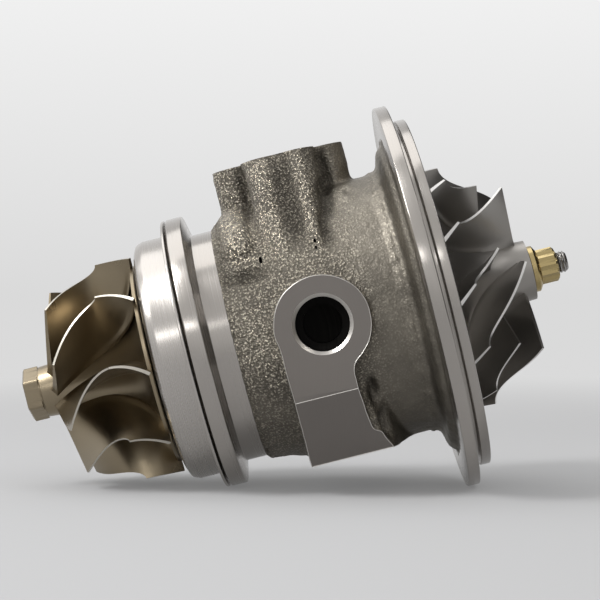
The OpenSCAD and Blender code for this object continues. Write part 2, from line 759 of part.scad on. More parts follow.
// Snap ring that holds the seal plate in its bore
module seal_plate_snap_ring() {
    r = seal_plate_d / 2;
    color("#7d7a75") difference() {
        union() {
            split_ring((plate_front_x + snap_front_x) / 2, snap_ring_t - 2 * fit, r - 1.6, r + 1.2, 9);
            for (e = [-1, 1]) translate([0, e * 6.6, sqrt((r - 2.6) ^ 2 - 6.6 ^ 2)])
                bar(plate_front_x + fit, snap_front_x - fit, 2);
        }
        for (e = [-1, 1]) translate([0, e * 6.6, sqrt((r - 2.6) ^ 2 - 6.6 ^ 2)])
            bar(plate_front_x - 1, snap_front_x + 1, 0.9);
    }
}

// Middle surface of a compressor blade, m from the inlet edge to the outlet edge
function compressor_wrap(m) = 35.5 * (0.75 * (1 - (1 - m) ^ 3) + 0.25 * m);
function compressor_middle(m, s) =
    let (edge_u = acos((compressor_nose_x - compressor_edge_x) / (compressor_nose_x - disc_front_x)) / 90,
         hub = quarter([disc_front_x, compressor_r - 0.1], [compressor_nose_x, compressor_nose_d / 2],
                       edge_u * (1 - m)),
         tip = quarter([compressor_tip_x, compressor_r - 0.1],
                       [compressor_edge_x, compressor_inlet_d / 2], 1 - m),
         p = mix(hub, tip, s))
    polar(p[0], p[1], compressor_wrap(m) + mix(mix(-6, 8, m), 0, s));

// Compressor wheel with full blades and short blades between them
module compressor_wheel() {
    hub = [for (i = [0:13])
        quarter([disc_front_x, compressor_r - 0.3], [compressor_nose_x, compressor_nose_d / 2], i / 13)];
    turn = 360 / compressor_blades;
    color("#a9a5a0") difference() {
        union() {
            revolve(concat(
                [[0, wheel_back_x], [sleeve_d / 2 + 0.3, wheel_back_x],
                 [sleeve_d / 2 + 1.5, disc_back_x - 0.5], [compressor_r - 0.3, disc_back_x]],
                [for (p = hub) [p[1], p[0]]],
                [[0, compressor_nose_x]]));
            for (i = [0:compressor_blades - 1]) {
                rotate([turn * i + 24, 0, 0])
                    blade(function(m, s) compressor_middle(m, s), 0, -0.09, 1.5, compressor_blade_t, 12, 4);
                rotate([turn * (i + 0.5) + 24, 0, 0]) blade(function(m, s) compressor_middle(m, s),
                    0.27, -0.09, 1.4, compressor_blade_t, 9, 4);
            }
        }
        bar(wheel_back_x - 1, compressor_nose_x + 1, stub_d / 2 + fit);
    }
}

// Collar nut with twelve points that clamps the compressor wheel
module compressor_nut() {
    color("#b9973f") difference() {
        union() {
            revolve([[0, nut_x - 0.3], [nut_collar_d / 2 - 0.3, nut_x - 0.3], [nut_collar_d / 2, nut_x],
                     [nut_collar_d / 2, nut_x + nut_collar_t - 0.8],
                     [nut_flats / 2 + 0.6, nut_x + nut_collar_t], [0, nut_x + nut_collar_t]]);
            for (a = [0, 30]) translate([nut_x + nut_collar_t - 0.5, 0, 0])
                rotate([a, 0, 0]) rotate([0, 90, 0])
                    cylinder(r = nut_flats / 2 / cos(30), h = nut_h + 0.5, $fn = 6);
        }
        bar(nut_x - 1, nut_top_x + 1, stub_d / 2 + fit);
    }
}

center_housing();
heat_shield();
turbine_wheel();
rotor_shaft();
turbine_seal_ring();
turbine_journal_bearing();
compressor_journal_bearing();
retaining_ring_turbine_outer();
retaining_ring_turbine_inner();
retaining_ring_compressor();
thrust_ring();
thrust_bearing();
thrust_screw_1();
thrust_screw_2();
thrust_screw_3();
oil_deflector();
thrust_sleeve();
compressor_seal_ring();
seal_plate();
seal_plate_o_ring();
seal_plate_snap_ring();
compressor_wheel();
compressor_nut();
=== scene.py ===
"""Looks of a turbocharger's centre section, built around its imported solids."""
import math

import bmesh
import bpy
from mathutils import Matrix, Vector, noise


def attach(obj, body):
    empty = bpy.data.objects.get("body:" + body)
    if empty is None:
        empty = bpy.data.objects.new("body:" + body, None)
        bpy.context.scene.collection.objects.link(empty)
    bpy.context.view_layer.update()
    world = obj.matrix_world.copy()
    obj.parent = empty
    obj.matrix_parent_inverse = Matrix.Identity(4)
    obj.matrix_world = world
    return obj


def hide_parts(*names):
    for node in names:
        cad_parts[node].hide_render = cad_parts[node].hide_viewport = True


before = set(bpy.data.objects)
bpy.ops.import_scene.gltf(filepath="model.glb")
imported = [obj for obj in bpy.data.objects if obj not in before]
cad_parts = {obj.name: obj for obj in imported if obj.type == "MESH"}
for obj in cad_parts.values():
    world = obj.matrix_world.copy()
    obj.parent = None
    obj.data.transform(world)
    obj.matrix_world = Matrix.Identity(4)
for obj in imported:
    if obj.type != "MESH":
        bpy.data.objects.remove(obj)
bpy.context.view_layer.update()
MM = 0.001

# Studio: a pale sheet that the cartridge lies on, lit by soft boxes, with a black card at the
# right that only shows in the metal. The sheet is tilted in the part's frame, because the part
# lies on the rims of its two flanges, and they differ in size.
FLANGE_RIM = Vector((-5.85, 0, -44.9)) * MM
CLAMP_RIM = Vector((-58.3, 0, -31.7)) * MM
sheet_along = (FLANGE_RIM - CLAMP_RIM).normalized()
sheet_up = Vector((-sheet_along.z, 0, sheet_along.x))
SHEET_R, SHEET_GAP = 2.5, 0.0001
FADE_START, FADE_END, GLOW_NEAR, HORIZON = 0.16, 0.62, 0.22, 0.16
PALE = (0.88, 0.88, 0.88)
PALE_LOW = (0.70, 0.70, 0.70)
PAPER = (0.355, 0.355, 0.359)


def add_object(name, mesh):
    """A new object at the origin that shows the mesh."""
    made = bpy.data.objects.new(name, mesh)
    bpy.context.scene.collection.objects.link(made)
    return made


def nodes_of(tree):
    """Empties a node tree and returns a maker of nodes and a linker for it."""
    tree.nodes.clear()

    def make(kind, **settings):
        made = tree.nodes.new(kind)
        for key, value in settings.items():
            if hasattr(made, key):
                setattr(made, key, value)
            else:
                made.inputs[key].default_value = value
        return made

    def link(out_socket, in_socket):
        tree.links.new(out_socket, in_socket)

    return make, link


def finish_of(name):
    """A new empty material, with a maker of nodes and a linker for it."""
    made = bpy.data.materials.new(name)
    made.use_nodes = True
    return made, *nodes_of(made.node_tree)


def ranged(make, span, result=(0, 1), soft=False):
    """A node that maps a span of values to a result, evenly or with soft ends."""
    made = make("ShaderNodeMapRange", interpolation_type="SMOOTHSTEP" if soft else "LINEAR")
    for key, value in zip(("From Min", "From Max", "To Min", "To Max"), (*span, *result)):
        made.inputs[key].default_value = value
    return made


sheet_mesh = bpy.data.meshes.new("paper_sheet")
shaper = bmesh.new()
bmesh.ops.create_circle(shaper, cap_ends=True, segments=96, radius=SHEET_R)
sheet_turn = sheet_up.to_track_quat("Z", "Y").to_matrix().to_4x4()
sheet_turn.translation = (FLANGE_RIM + CLAMP_RIM) / 2 - sheet_up * SHEET_GAP
bmesh.ops.transform(shaper, matrix=sheet_turn, verts=shaper.verts)
shaper.to_mesh(sheet_mesh)
shaper.free()
paper_sheet = add_object("paper_sheet", sheet_mesh)

paper, make, link = finish_of("paper")
place = make("ShaderNodeTexCoord")
reach = make("ShaderNodeVectorMath", operation="LENGTH")
fade = ranged(make, (FADE_START, FADE_END), (GLOW_NEAR, 1), soft=True)
lit = make("ShaderNodeBsdfDiffuse")
lit.inputs["Color"].default_value = (*PAPER, 1)
glow = make("ShaderNodeEmission")
glow.inputs["Color"].default_value = (*PALE_LOW, 1)
blend = make("ShaderNodeMixShader")
out = make("ShaderNodeOutputMaterial")
link(place.outputs["Object"], reach.inputs[0])
link(reach.outputs["Value"], fade.inputs["Value"])
link(fade.outputs["Result"], blend.inputs["Fac"])
link(lit.outputs["BSDF"], blend.inputs[1])
link(glow.outputs["Emission"], blend.inputs[2])
link(blend.outputs["Shader"], out.inputs["Surface"])
sheet_mesh.materials.append(paper)

world = bpy.data.worlds.new("studio")
bpy.context.scene.world = world
world.use_nodes = True
make, link = nodes_of(world.node_tree)
place = make("ShaderNodeTexCoord")
rise = make("ShaderNodeVectorMath", operation="DOT_PRODUCT")
rise.inputs[1].default_value = sheet_up
height = ranged(make, (0, HORIZON))
tint = make("ShaderNodeMix", data_type="RGBA")
tint.inputs["A"].default_value = (*PALE_LOW, 1)
tint.inputs["B"].default_value = (*PALE, 1)
backdrop = make("ShaderNodeBackground")
out = make("ShaderNodeOutputWorld")
link(place.outputs["Generated"], rise.inputs[0])
link(rise.outputs["Value"], height.inputs["Value"])
link(height.outputs["Result"], tint.inputs["Factor"])
link(tint.outputs["Result"], backdrop.inputs["Color"])
link(backdrop.outputs["Background"], out.inputs["Surface"])


def mix(a, b, u):
    """A value between a, at 0, and b, at 1."""
    return a + (b - a) * u


def soft_box(name, where, aim, size, power):
    """A rectangular lamp that points at a place on the part."""
    lamp = bpy.data.lights.new(name, "AREA")
    lamp.shape = "RECTANGLE"
    lamp.size, lamp.size_y = size
    lamp.energy = power
    made = bpy.data.objects.new(name, lamp)
    made.location = where
    made.rotation_euler = (Vector(where) - Vector(aim)).to_track_quat("Z", "Y").to_euler()
    bpy.context.scene.collection.objects.link(made)


MIDDLE = (-0.033, 0, 0)
soft_box("left_box", (-0.40, -0.24, 0.64), MIDDLE, (0.24, 0.40), 5.2)
soft_box("top_box", (-0.10, 0.20, 0.75), MIDDLE, (0.70, 0.55), 1.6)
soft_box("front_box", (-0.20, -0.75, 0.34), MIDDLE, (0.40, 0.07), 0.42)
soft_box("right_box", (0.55, -0.30, 0.45), MIDDLE, (0.10, 0.4), 0.5)


def dark_card(name, columns, rows, place, cover):
    """A black studio card that only shows in the metal. It thins out where its cover is small."""
    made = bmesh.new()
    amount = made.verts.layers.float.new("cover")
    grid = []
    for i in range(columns + 1):
        grid.append([])
        for j in range(rows + 1):
            vert = made.verts.new(place(i / columns, j / rows))
            vert[amount] = cover(i / columns, j / rows)
            grid[-1].append(vert)
    for i in range(columns):
        for j in range(rows):
            made.faces.new((grid[i][j], grid[i + 1][j], grid[i + 1][j + 1], grid[i][j + 1]))
    mesh = bpy.data.meshes.new(name)
    made.to_mesh(mesh)
    made.free()
    card = add_object(name, mesh)
    for kind in ("camera", "diffuse", "transmission", "volume_scatter", "shadow"):
        setattr(card, "visible_" + kind, False)
    mesh.materials.append(black_card)


black_card, make, link = finish_of("black_card")
amount = make("ShaderNodeAttribute", attribute_name="cover")
clear = make("ShaderNodeBsdfTransparent")
black = make("ShaderNodeEmission")
black.inputs["Color"].default_value = (0.030, 0.028, 0.026, 1)
blend = make("ShaderNodeMixShader")
out = make("ShaderNodeOutputMaterial")
link(amount.outputs["Fac"], blend.inputs["Fac"])
link(clear.outputs["BSDF"], blend.inputs[1])
link(black.outputs["Emission"], blend.inputs[2])
link(blend.outputs["Shader"], out.inputs["Surface"])


def ease(low, high, value):
    """A soft step from 0 at low to 1 at high."""
    u = min(1, max(0, (value - low) / (high - low)))
    return u * u * (3 - 2 * u)


CARD_R, CARD_TURNS, CARD_RISES = 1.2, (15, 175), (-12, 65)


def card_place(u, v):
    """A point of the curved card at the right, from its front end and its foot."""
    turn, rise = math.radians(mix(*CARD_TURNS, u)), math.radians(mix(*CARD_RISES, v))
    level = CARD_R * math.cos(rise)
    return Vector((level * math.sin(turn), -level * math.cos(turn), CARD_R * math.sin(rise)))


dark_card("right_card", 48, 24, card_place,
          lambda u, v: ease(0, 0.25, u) * ease(1, 0.9, u) * ease(1, 0.6, v))

camera_data = bpy.data.cameras.new("camera")
camera_data.sensor_width = 36
camera_data.lens = 114
camera = bpy.data.objects.new("camera", camera_data)
bpy.context.scene.collection.objects.link(camera)
bpy.context.scene.camera = camera
camera_place = Vector((-28.2, -441, 6.2)) * MM
camera_aim = Vector((-33.2, 0, 6.2)) * MM
back = (camera_place - camera_aim).normalized()
right = sheet_up.cross(back).normalized()
camera.matrix_world = Matrix.Translation(camera_place) @ Matrix(
    (right, back.cross(right), back)).transposed().to_4x4()
bpy.context.scene.view_settings.view_transform = "Standard"

# Bearing housing: one iron casting with the oil and water passages inside. Its skin keeps the
# grain of the sand mould, and only the faces and holes that pipes bolt to are machined.
CAST_LEFT, CAST_RIGHT = -49.1, -6.25
INLET_X, INLET_Z, INLET_BOLT_X = -30.4, 39.4, 10
PORT_X, PORT_Y, PORT_R, PORT_MOUTH_R, WATERWAY_R = -29.4, 32.0, 5.95, 6.7, 4.4
TONGUE_Z = -15.3
DRAIN_X, DRAIN_Z, DRAIN_BOLT_Y = -27.2, -30.0, 19
LOWER_SLOPE = math.atan(8 / (TONGUE_Z - DRAIN_Z))
SPARE, VOXEL, ROUNDING_STEPS = 2.5, 0.44, 14
front_normal = Vector((0, -1, 0))
lower_normal = Vector((0, -math.cos(LOWER_SLOPE), -math.sin(LOWER_SLOPE)))


def shell(rows, around=96, ring=False):
    """A turned mesh from rows of (x, radius), in mm. A radius may be a function of the angle.
    A ring's last row joins its first, and any other shape is closed by flat ends."""
    made = bmesh.new()
    loops = []
    for x, radius in rows:
        loop = []
        for step in range(around):
            angle = 2 * math.pi * step / around
            r = radius(angle) if callable(radius) else radius
            loop.append(made.verts.new((x * MM, -r * MM * math.sin(angle), r * MM * math.cos(angle))))
        loops.append(loop)
    pairs = list(zip(loops, loops[1:] + loops[:1])) if ring else list(zip(loops, loops[1:]))
    for one, two in pairs:
        for step in range(around):
            after = (step + 1) % around
            made.faces.new((one[step], one[after], two[after], two[step]))
    if not ring:
        made.faces.new(loops[0])
        made.faces.new(loops[-1])
    bmesh.ops.recalc_face_normals(made, faces=made.faces)
    return made


def turn_towards(made, base, direction):
    """Turns a shape made along X so that it starts at base, in mm, and runs along direction."""
    turn = Vector(direction).to_track_quat("X", "Z").to_matrix().to_4x4()
    turn.translation = Vector(base) * MM
    bmesh.ops.transform(made, matrix=turn, verts=made.verts)
    return made


def block(low, high):
    """A box between two corners, in mm."""
    made = bmesh.new()
    low, high = Vector(low) * MM, Vector(high) * MM
    middle = Matrix.Translation((low + high) / 2) @ Matrix.Diagonal((*(high - low), 1))
    bmesh.ops.create_cube(made, size=1, matrix=middle)
    return made


def as_mesh(name, made):
    """A plain mesh from a bmesh, which is freed."""
    mesh = bpy.data.meshes.new(name)
    made.to_mesh(mesh)
    made.free()
    return mesh


def plain(piece):
    """Replaces a piece's mesh by its modifiers' result."""
    graph = bpy.context.evaluated_depsgraph_get()
    result = bpy.data.meshes.new_from_object(piece.evaluated_get(graph))
    piece.modifiers.clear()
    old, piece.data = piece.data, result
    bpy.data.meshes.remove(old)


def combine(piece, other, how, index):
    """Cuts or joins another shape, whose faces take a material slot's number or keep their own."""
    if index is not None:
        for face in other.faces:
            face.material_index = index
    tool = add_object("tool", as_mesh("tool", other))
    for slot in piece.data.materials:
        tool.data.materials.append(slot)
    step = piece.modifiers.new("step", "BOOLEAN")
    step.operation = how
    step.solver = "MANIFOLD"
    step.object = tool
    plain(piece)
    mesh = tool.data
    bpy.data.objects.remove(tool)
    bpy.data.meshes.remove(mesh)


def crisp(mesh, angle=32):
    """Smooth shading that keeps machined corners sharp."""
    mesh.shade_smooth()
    mesh.set_sharp_from_angle(angle=math.radians(angle))


FOOT_LUMPS = ((-23.8, -25.6, -22.6, 1.6), (-23.2, -24.6, -26.4, 2.1), (-22.4, -23.5, -28.6, 1.8))
BORE_PLUG_R, BORE_PLUG_L = 26.6, 57


def casting_stock():
    """The housing's solid with its holes plugged and spare metal on the faces to be machined."""
    made = bmesh.new()
    made.from_mesh(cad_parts["center_housing"].data)
    bmesh.ops.remove_doubles(made, verts=made.verts, dist=1e-6)
    made.normal_update()
    rear = Vector((1, -1, 1))
    faces_to_machine = [
        (front_normal, PORT_Y), (-front_normal, PORT_Y),
        (Vector((0, 0, 1)), INLET_Z), (Vector((0, 0, -1)), -DRAIN_Z),
    ]
    corner = Vector((0, -PORT_Y, TONGUE_Z))
    for normal in (lower_normal, lower_normal * rear):
        faces_to_machine.append((normal, lower_normal.dot(corner)))
    for normal, height in faces_to_machine:
        flat = [f for f in made.faces if f.normal.dot(normal) > 0.9999
                and abs(f.calc_center_median().dot(normal) - height * MM) < 0.02 * MM
                and CAST_LEFT * MM < f.calc_center_median().x < CAST_RIGHT * MM]
        grown = bmesh.ops.extrude_face_region(made, geom=flat)["geom"]
        bmesh.ops.delete(made, geom=[f for f in flat if f.is_valid], context="FACES")
        raised = [g for g in grown if isinstance(g, bmesh.types.BMVert)]
        bmesh.ops.translate(made, verts=raised, vec=normal * SPARE * MM)
    stock = as_mesh("stock", made)
    plugs = [turn_towards(shell([(0, BORE_PLUG_R), (BORE_PLUG_L, BORE_PLUG_R)]),
                          (-BORE_PLUG_L, 0, 0), (1, 0, 0))]
    for base, direction, r, length in (
            ((PORT_X, 15, 0), (0, 1, 0), 8.4, PORT_Y - 15 + SPARE),
            ((PORT_X, -15, 0), (0, -1, 0), 8.4, PORT_Y - 15 + SPARE),
            ((DRAIN_X, 0, -20), (0, 0, -1), 9, 10 + SPARE),
            ((DRAIN_X, DRAIN_BOLT_Y, -15), (0, 0, -1), 4.4, 15 + SPARE),
            ((DRAIN_X, -DRAIN_BOLT_Y, -15), (0, 0, -1), 4.4, 15 + SPARE),
            ((INLET_X, 0, 20), (0, 0, 1), 4.4, INLET_Z - 20 + SPARE),
            ((INLET_X - INLET_BOLT_X, 0, 20), (0, 0, 1), 3.4, INLET_Z - 20 + SPARE),
            ((INLET_X + INLET_BOLT_X, 0, 20), (0, 0, 1), 3.4, INLET_Z - 20 + SPARE)):
        plugs.append(turn_towards(shell([(0, r), (length, r)], 48), base, direction))
    for x, y, z, r in FOOT_LUMPS:
        lump = bmesh.new()
        bmesh.ops.create_icosphere(lump, subdivisions=3, radius=r * MM,
                                   matrix=Matrix.Translation(Vector((x, y, z)) * MM))
        plugs.append(lump)
    joined = bmesh.new()
    joined.from_mesh(stock)
    for plug in plugs:
        joined.from_mesh(as_mesh("plug", plug))
    return joined


# Ridges and hollows of the casting's front: x, z, half width, half height and rise.
SOFT_FORMS = (
    (-30.0, 29, 2.0, 10, -1.6),
    (-34.6, 28, 1.7, 10, 1.1),
    (-26.0, 27, 1.6, 10, 1.0),
    (-39.3, 32, 1.3, 7, -0.9),
    (-42.9, 22.5, 2.5, 5.5, 1.5),
    (-43.5, 14.0, 4.5, 1.6, -1.3),
    (-48.0, 20, 1.1, 9, -0.8),
    (-17.3, 27.3, 2.0, 2.0, 0.5),
    (-16.8, 27.0, 0.9, 0.9, -0.5),
    (-20.4, 34, 1.3, 4, -1.4),
    (-21.9, 27, 1.3, 4, -1.5),
    (-23.7, 20, 1.3, 4, -1.2),
    (-21.0, -24.5, 0.9, 3.0, -2.0),
    (-22.2, -17.0, 0.9, 3.0, -1.2),
)
BEAD_X, BEAD_W, BEAD_RISE = -10.6, 0.8, 0.5
RAGGED_X, RAGGED_W, RAGGED_RISE = -48.6, 0.9, 0.5


def cast_skin(mesh):
    """Gives the skin its ridges and hollows, moves it in and out as sand leaves it, and keeps how far
    each point rises, for the painted highlight on its ridges and the painted shade in its hollows."""
    outward = [normal.vector.copy() for normal in mesh.vertex_normals]
    moved, painted_light_and_relief = [], []
    for vert, normal in zip(mesh.vertices, outward):
        at = vert.co / MM
        coarse = noise.noise(at * 0.24) * 0.16 + noise.noise(at * 0.6) * 0.08
        sandy = mix(0.3, 1, ease(-14, -27, at.x) * ease(-16, -3, at.z))
        grain = noise.noise(at * 1.15 + Vector((7, 3, 1))) * 0.14 + noise.noise(at * 2.0) * 0.10
        bead = BEAD_RISE * math.exp(-((at.x - BEAD_X) / BEAD_W) ** 2)
        bead *= mix(0.5, 1, ease(-0.5, 0.5, noise.noise(at * 0.4)))
        ragged = RAGGED_RISE * math.exp(-((at.x - RAGGED_X) / RAGGED_W) ** 2) * noise.noise(at * 0.9)
        rise = 0
        if at.y < -3:
            for x, z, wide, high, height in SOFT_FORMS:
                rise += height * math.exp(-((at.x - x) / wide) ** 2 - ((at.z - z) / high) ** 4)
        moved.extend(vert.co + normal * (coarse + sandy * grain + bead + ragged + rise) * MM)
        painted_light_and_relief.append(rise + bead)
    mesh.vertices.foreach_set("co", moved)
    mesh.attributes.new("rise", "FLOAT", "POINT").data.foreach_set("value", painted_light_and_relief)
    mesh.update()


casting = add_object("housing_casting", as_mesh("housing_casting", casting_stock()))
grow = casting.modifiers.new("skin", "REMESH")
grow.mode = "VOXEL"
grow.voxel_size = VOXEL * MM
rounding = casting.modifiers.new("rounding", "SMOOTH")
rounding.factor = 0.5
rounding.iterations = ROUNDING_STEPS
plain(casting)
cast_skin(casting.data)


def effect(name, inputs, outputs):
    """An empty shader group with named sockets, and its maker, linker and two end nodes."""
    group = bpy.data.node_groups.new(name, "ShaderNodeTree")
    for label, kind in inputs:
        group.interface.new_socket(label, in_out="INPUT", socket_type=kind)
    for label, kind in outputs:
        group.interface.new_socket(label, in_out="OUTPUT", socket_type=kind)
    make, link = nodes_of(group)
    return group, make, link, make("NodeGroupInput"), make("NodeGroupOutput")


VECTOR, NUMBER = "NodeSocketVector", "NodeSocketFloat"
sand_grain, make, link, start, end = effect(
    "sand_grain", (("Place", VECTOR), ("Grain size", NUMBER)),
    (("Height", NUMBER), ("Glint", NUMBER), ("Stain", NUMBER)))
frequency = make("ShaderNodeMath", operation="DIVIDE")
frequency.inputs[0].default_value = 1
link(start.outputs["Grain size"], frequency.inputs[1])
grains = make("ShaderNodeTexNoise", Detail=4.0, Roughness=0.62)
link(start.outputs["Place"], grains.inputs["Vector"])
link(frequency.outputs["Value"], grains.inputs["Scale"])
cells = make("ShaderNodeTexVoronoi")
link(start.outputs["Place"], cells.inputs["Vector"])
link(frequency.outputs["Value"], cells.inputs["Scale"])
bumps = make("ShaderNodeMath", operation="SUBTRACT")
link(grains.outputs["Fac"], bumps.inputs[0])
soften = make("ShaderNodeMath", operation="MULTIPLY")
soften.inputs[1].default_value = 0.45
link(cells.outputs["Distance"], soften.inputs[0])
link(soften.outputs["Value"], bumps.inputs[1])
link(bumps.outputs["Value"], end.inputs["Height"])
# Glint: the tops of the grain, where a cast metal gets its painted highlight.
tops = ranged(make, (0.24, 0.52), soft=True)
link(bumps.outputs["Value"], tops.inputs["Value"])
link(tops.outputs["Result"], end.inputs["Glint"])
stains = make("ShaderNodeTexNoise", Scale=90.0, Detail=3.0)
link(start.outputs["Place"], stains.inputs["Vector"])
link(stains.outputs["Fac"], end.inputs["Stain"])

turned_lines, make, link, start, end = effect(
    "turned_lines", (("Place", VECTOR), ("Lines per metre", NUMBER)),
    (("Lines", NUMBER), ("Bands", NUMBER)))
parts = make("ShaderNodeSeparateXYZ")
link(start.outputs["Place"], parts.inputs["Vector"])
flat = make("ShaderNodeCombineXYZ")
link(parts.outputs["Y"], flat.inputs["Y"])
link(parts.outputs["Z"], flat.inputs["Z"])
radius = make("ShaderNodeVectorMath", operation="LENGTH")
link(flat.outputs["Vector"], radius.inputs[0])
track = make("ShaderNodeMath", operation="ADD")
link(parts.outputs["X"], track.inputs[0])
link(radius.outputs["Value"], track.inputs[1])
fine = make("ShaderNodeTexNoise", noise_dimensions="1D", Detail=2.0)
link(track.outputs["Value"], fine.inputs["W"])
link(start.outputs["Lines per metre"], fine.inputs["Scale"])
link(fine.outputs["Fac"], end.inputs["Lines"])
wide = make("ShaderNodeTexNoise", Scale=45.0, Detail=3.0)
link(start.outputs["Place"], wide.inputs["Vector"])
link(wide.outputs["Fac"], end.inputs["Bands"])


ACROSS_THE_LINES = 0.25  # of a turn, because a groove spreads a highlight across itself


def metal(name, light, dark, roughness, anisotropy=0.0, lines=2600, bump=0.02, around=False):
    """A smooth metal whose colour varies in soft bands. Fine lines follow the tool on a machined
    one. A cast one has no lines, and its roughness follows the bands."""
    made, make, link = finish_of(name)
    place = make("ShaderNodeTexCoord")
    marks = make("ShaderNodeGroup", node_tree=turned_lines)
    marks.inputs["Lines per metre"].default_value = lines
    link(place.outputs["Object"], marks.inputs["Place"])
    colour = make("ShaderNodeMix", data_type="RGBA")
    colour.inputs["A"].default_value = (*dark, 1)
    colour.inputs["B"].default_value = (*light, 1)
    link(marks.outputs["Bands"], colour.inputs["Factor"])
    dull = ranged(make, (0.25, 0.75), roughness)
    link(marks.outputs["Lines" if lines else "Bands"], dull.inputs["Value"])
    skin = make("ShaderNodeBsdfPrincipled", Metallic=1.0)
    if lines:
        relief = make("ShaderNodeBump", Strength=0.35, Distance=bump * MM)
        link(marks.outputs["Lines"], relief.inputs["Height"])
        link(relief.outputs["Normal"], skin.inputs["Normal"])
    skin.inputs["Anisotropic"].default_value = anisotropy
    if around:
        grain = make("ShaderNodeTangent", direction_type="RADIAL", axis="X")
        link(grain.outputs["Tangent"], skin.inputs["Tangent"])
        skin.inputs["Anisotropic Rotation"].default_value = ACROSS_THE_LINES
    link(colour.outputs["Result"], skin.inputs["Base Color"])
    link(dull.outputs["Result"], skin.inputs["Roughness"])
    out = make("ShaderNodeOutputMaterial")
    link(skin.outputs["BSDF"], out.inputs["Surface"])
    return made


# The second colour is a painted shade, near black, for the casting's hollows.
STAIN_SHARE, HOLLOW_SHADE_COLOUR = 0.26, (0.012, 0.010, 0.008)
# Where the painted highlight and the grain's bumps grow, towards the left and the top, where the lamps
# are: socket, axis, low and high end in mm, and least share.
LIT_SIDE_AND_GRIT_BETWEEN = ((0, "X", -15, -28, 0.15), (1, "Z", -16, -3, 0.45))


def cast_metal(name, light, dark, grain_mm, relief_mm):
    """A sand-cast metal: its own dark colour in the hollows of the grain, a painted shade near black in
    the hollows of the casting, and a painted highlight on the tops of the grain and of the ridges,
    strongest on the left and the top, where the lamps are. The grain's bumps are also deeper there."""
    made, make, link = finish_of(name)
    place = make("ShaderNodeTexCoord")
    sand = make("ShaderNodeGroup", node_tree=sand_grain)
    sand.inputs["Grain size"].default_value = grain_mm * MM
    link(place.outputs["Object"], sand.inputs["Place"])
    stain = make("ShaderNodeMix", data_type="RGBA")
    stain.inputs["A"].default_value = (*dark, 1)
    stain.inputs["B"].default_value = (*(mix(a, b, STAIN_SHARE) for a, b in zip(dark, light)), 1)
    link(sand.outputs["Stain"], stain.inputs["Factor"])
    # Painted light: the highlight and the grain's bumps grow towards the left and the top, where the
    # lamps are.
    where = make("ShaderNodeSeparateXYZ")
    link(place.outputs["Object"], where.inputs["Vector"])
    painted_light_and_relief = make("ShaderNodeMath", operation="MULTIPLY")
    for socket, axis, low, high, least in LIT_SIDE_AND_GRIT_BETWEEN:
        side = ranged(make, (low * MM, high * MM), (least, 1), soft=True)
        link(where.outputs[axis], side.inputs["Value"])
        link(side.outputs["Result"], painted_light_and_relief.inputs[socket])
    # The casting's ridges take more painted highlight, and its hollows painted shade.
    form = make("ShaderNodeAttribute", attribute_name="rise")
    ridge = ranged(make, (-0.5, 1), (0.4, 2), soft=True)
    link(form.outputs["Fac"], ridge.inputs["Value"])
    ridge_highlight = make("ShaderNodeMath", operation="MULTIPLY")
    link(painted_light_and_relief.outputs["Value"], ridge_highlight.inputs[0])
    link(ridge.outputs["Result"], ridge_highlight.inputs[1])
    # The painted highlight: the lit tops of the grain and of the ridges.
    tops = make("ShaderNodeMath", operation="MULTIPLY", use_clamp=True)
    link(sand.outputs["Glint"], tops.inputs[0])
    link(ridge_highlight.outputs["Value"], tops.inputs[1])
    # Painted shade: the casting's hollows darken towards near black.
    hollow = ranged(make, (-1.2, -0.1), (0.5, 1))
    link(form.outputs["Fac"], hollow.inputs["Value"])
    painted_hollow_shade = make("ShaderNodeMix", data_type="RGBA")
    painted_hollow_shade.inputs["A"].default_value = (*HOLLOW_SHADE_COLOUR, 1)
    link(stain.outputs["Result"], painted_hollow_shade.inputs["B"])
    link(hollow.outputs["Result"], painted_hollow_shade.inputs["Factor"])
    colour = make("ShaderNodeMix", data_type="RGBA")
    colour.inputs["B"].default_value = (*light, 1)
    link(painted_hollow_shade.outputs["Result"], colour.inputs["A"])
    link(tops.outputs["Value"], colour.inputs["Factor"])
    dull = ranged(make, (0, 1), (0.48, 0.22))
    link(tops.outputs["Value"], dull.inputs["Value"])
    grit = make("ShaderNodeMath", operation="MULTIPLY")
    link(sand.outputs["Height"], grit.inputs[0])
    link(painted_light_and_relief.outputs["Value"], grit.inputs[1])
    relief = make("ShaderNodeBump", Strength=0.9, Distance=relief_mm * MM)
    link(grit.outputs["Value"], relief.inputs["Height"])
    skin = make("ShaderNodeBsdfPrincipled", Metallic=0.92)
    link(colour.outputs["Result"], skin.inputs["Base Color"])
    link(dull.outputs["Result"], skin.inputs["Roughness"])
    link(relief.outputs["Normal"], skin.inputs["Normal"])
    out = make("ShaderNodeOutputMaterial")
    link(skin.outputs["BSDF"], out.inputs["Surface"])
    return made


# The light colour is the painted highlight; the dark one is the iron's own.
sand_cast_iron = cast_metal("sand_cast_iron", (0.80, 0.735, 0.60), (0.060, 0.053, 0.046), 0.50, 0.9)
milled_iron = metal("milled_iron", (0.215, 0.197, 0.182), (0.18, 0.165, 0.152), (0.34, 0.44), bump=0.01)
# Near black: a painted shade for the dark inside of the bores, tapped holes and pits.
bore_shade_iron = metal("bore_shade_iron", (0.016, 0.015, 0.014), (0.008, 0.0075, 0.007), (0.4, 0.6))
fresh_cut = metal("fresh_cut", (0.74, 0.71, 0.67), (0.62, 0.595, 0.56), (0.30, 0.42), lines=0)
for finish in (sand_cast_iron, milled_iron, bore_shade_iron, fresh_cut):
    casting.data.materials.append(finish)


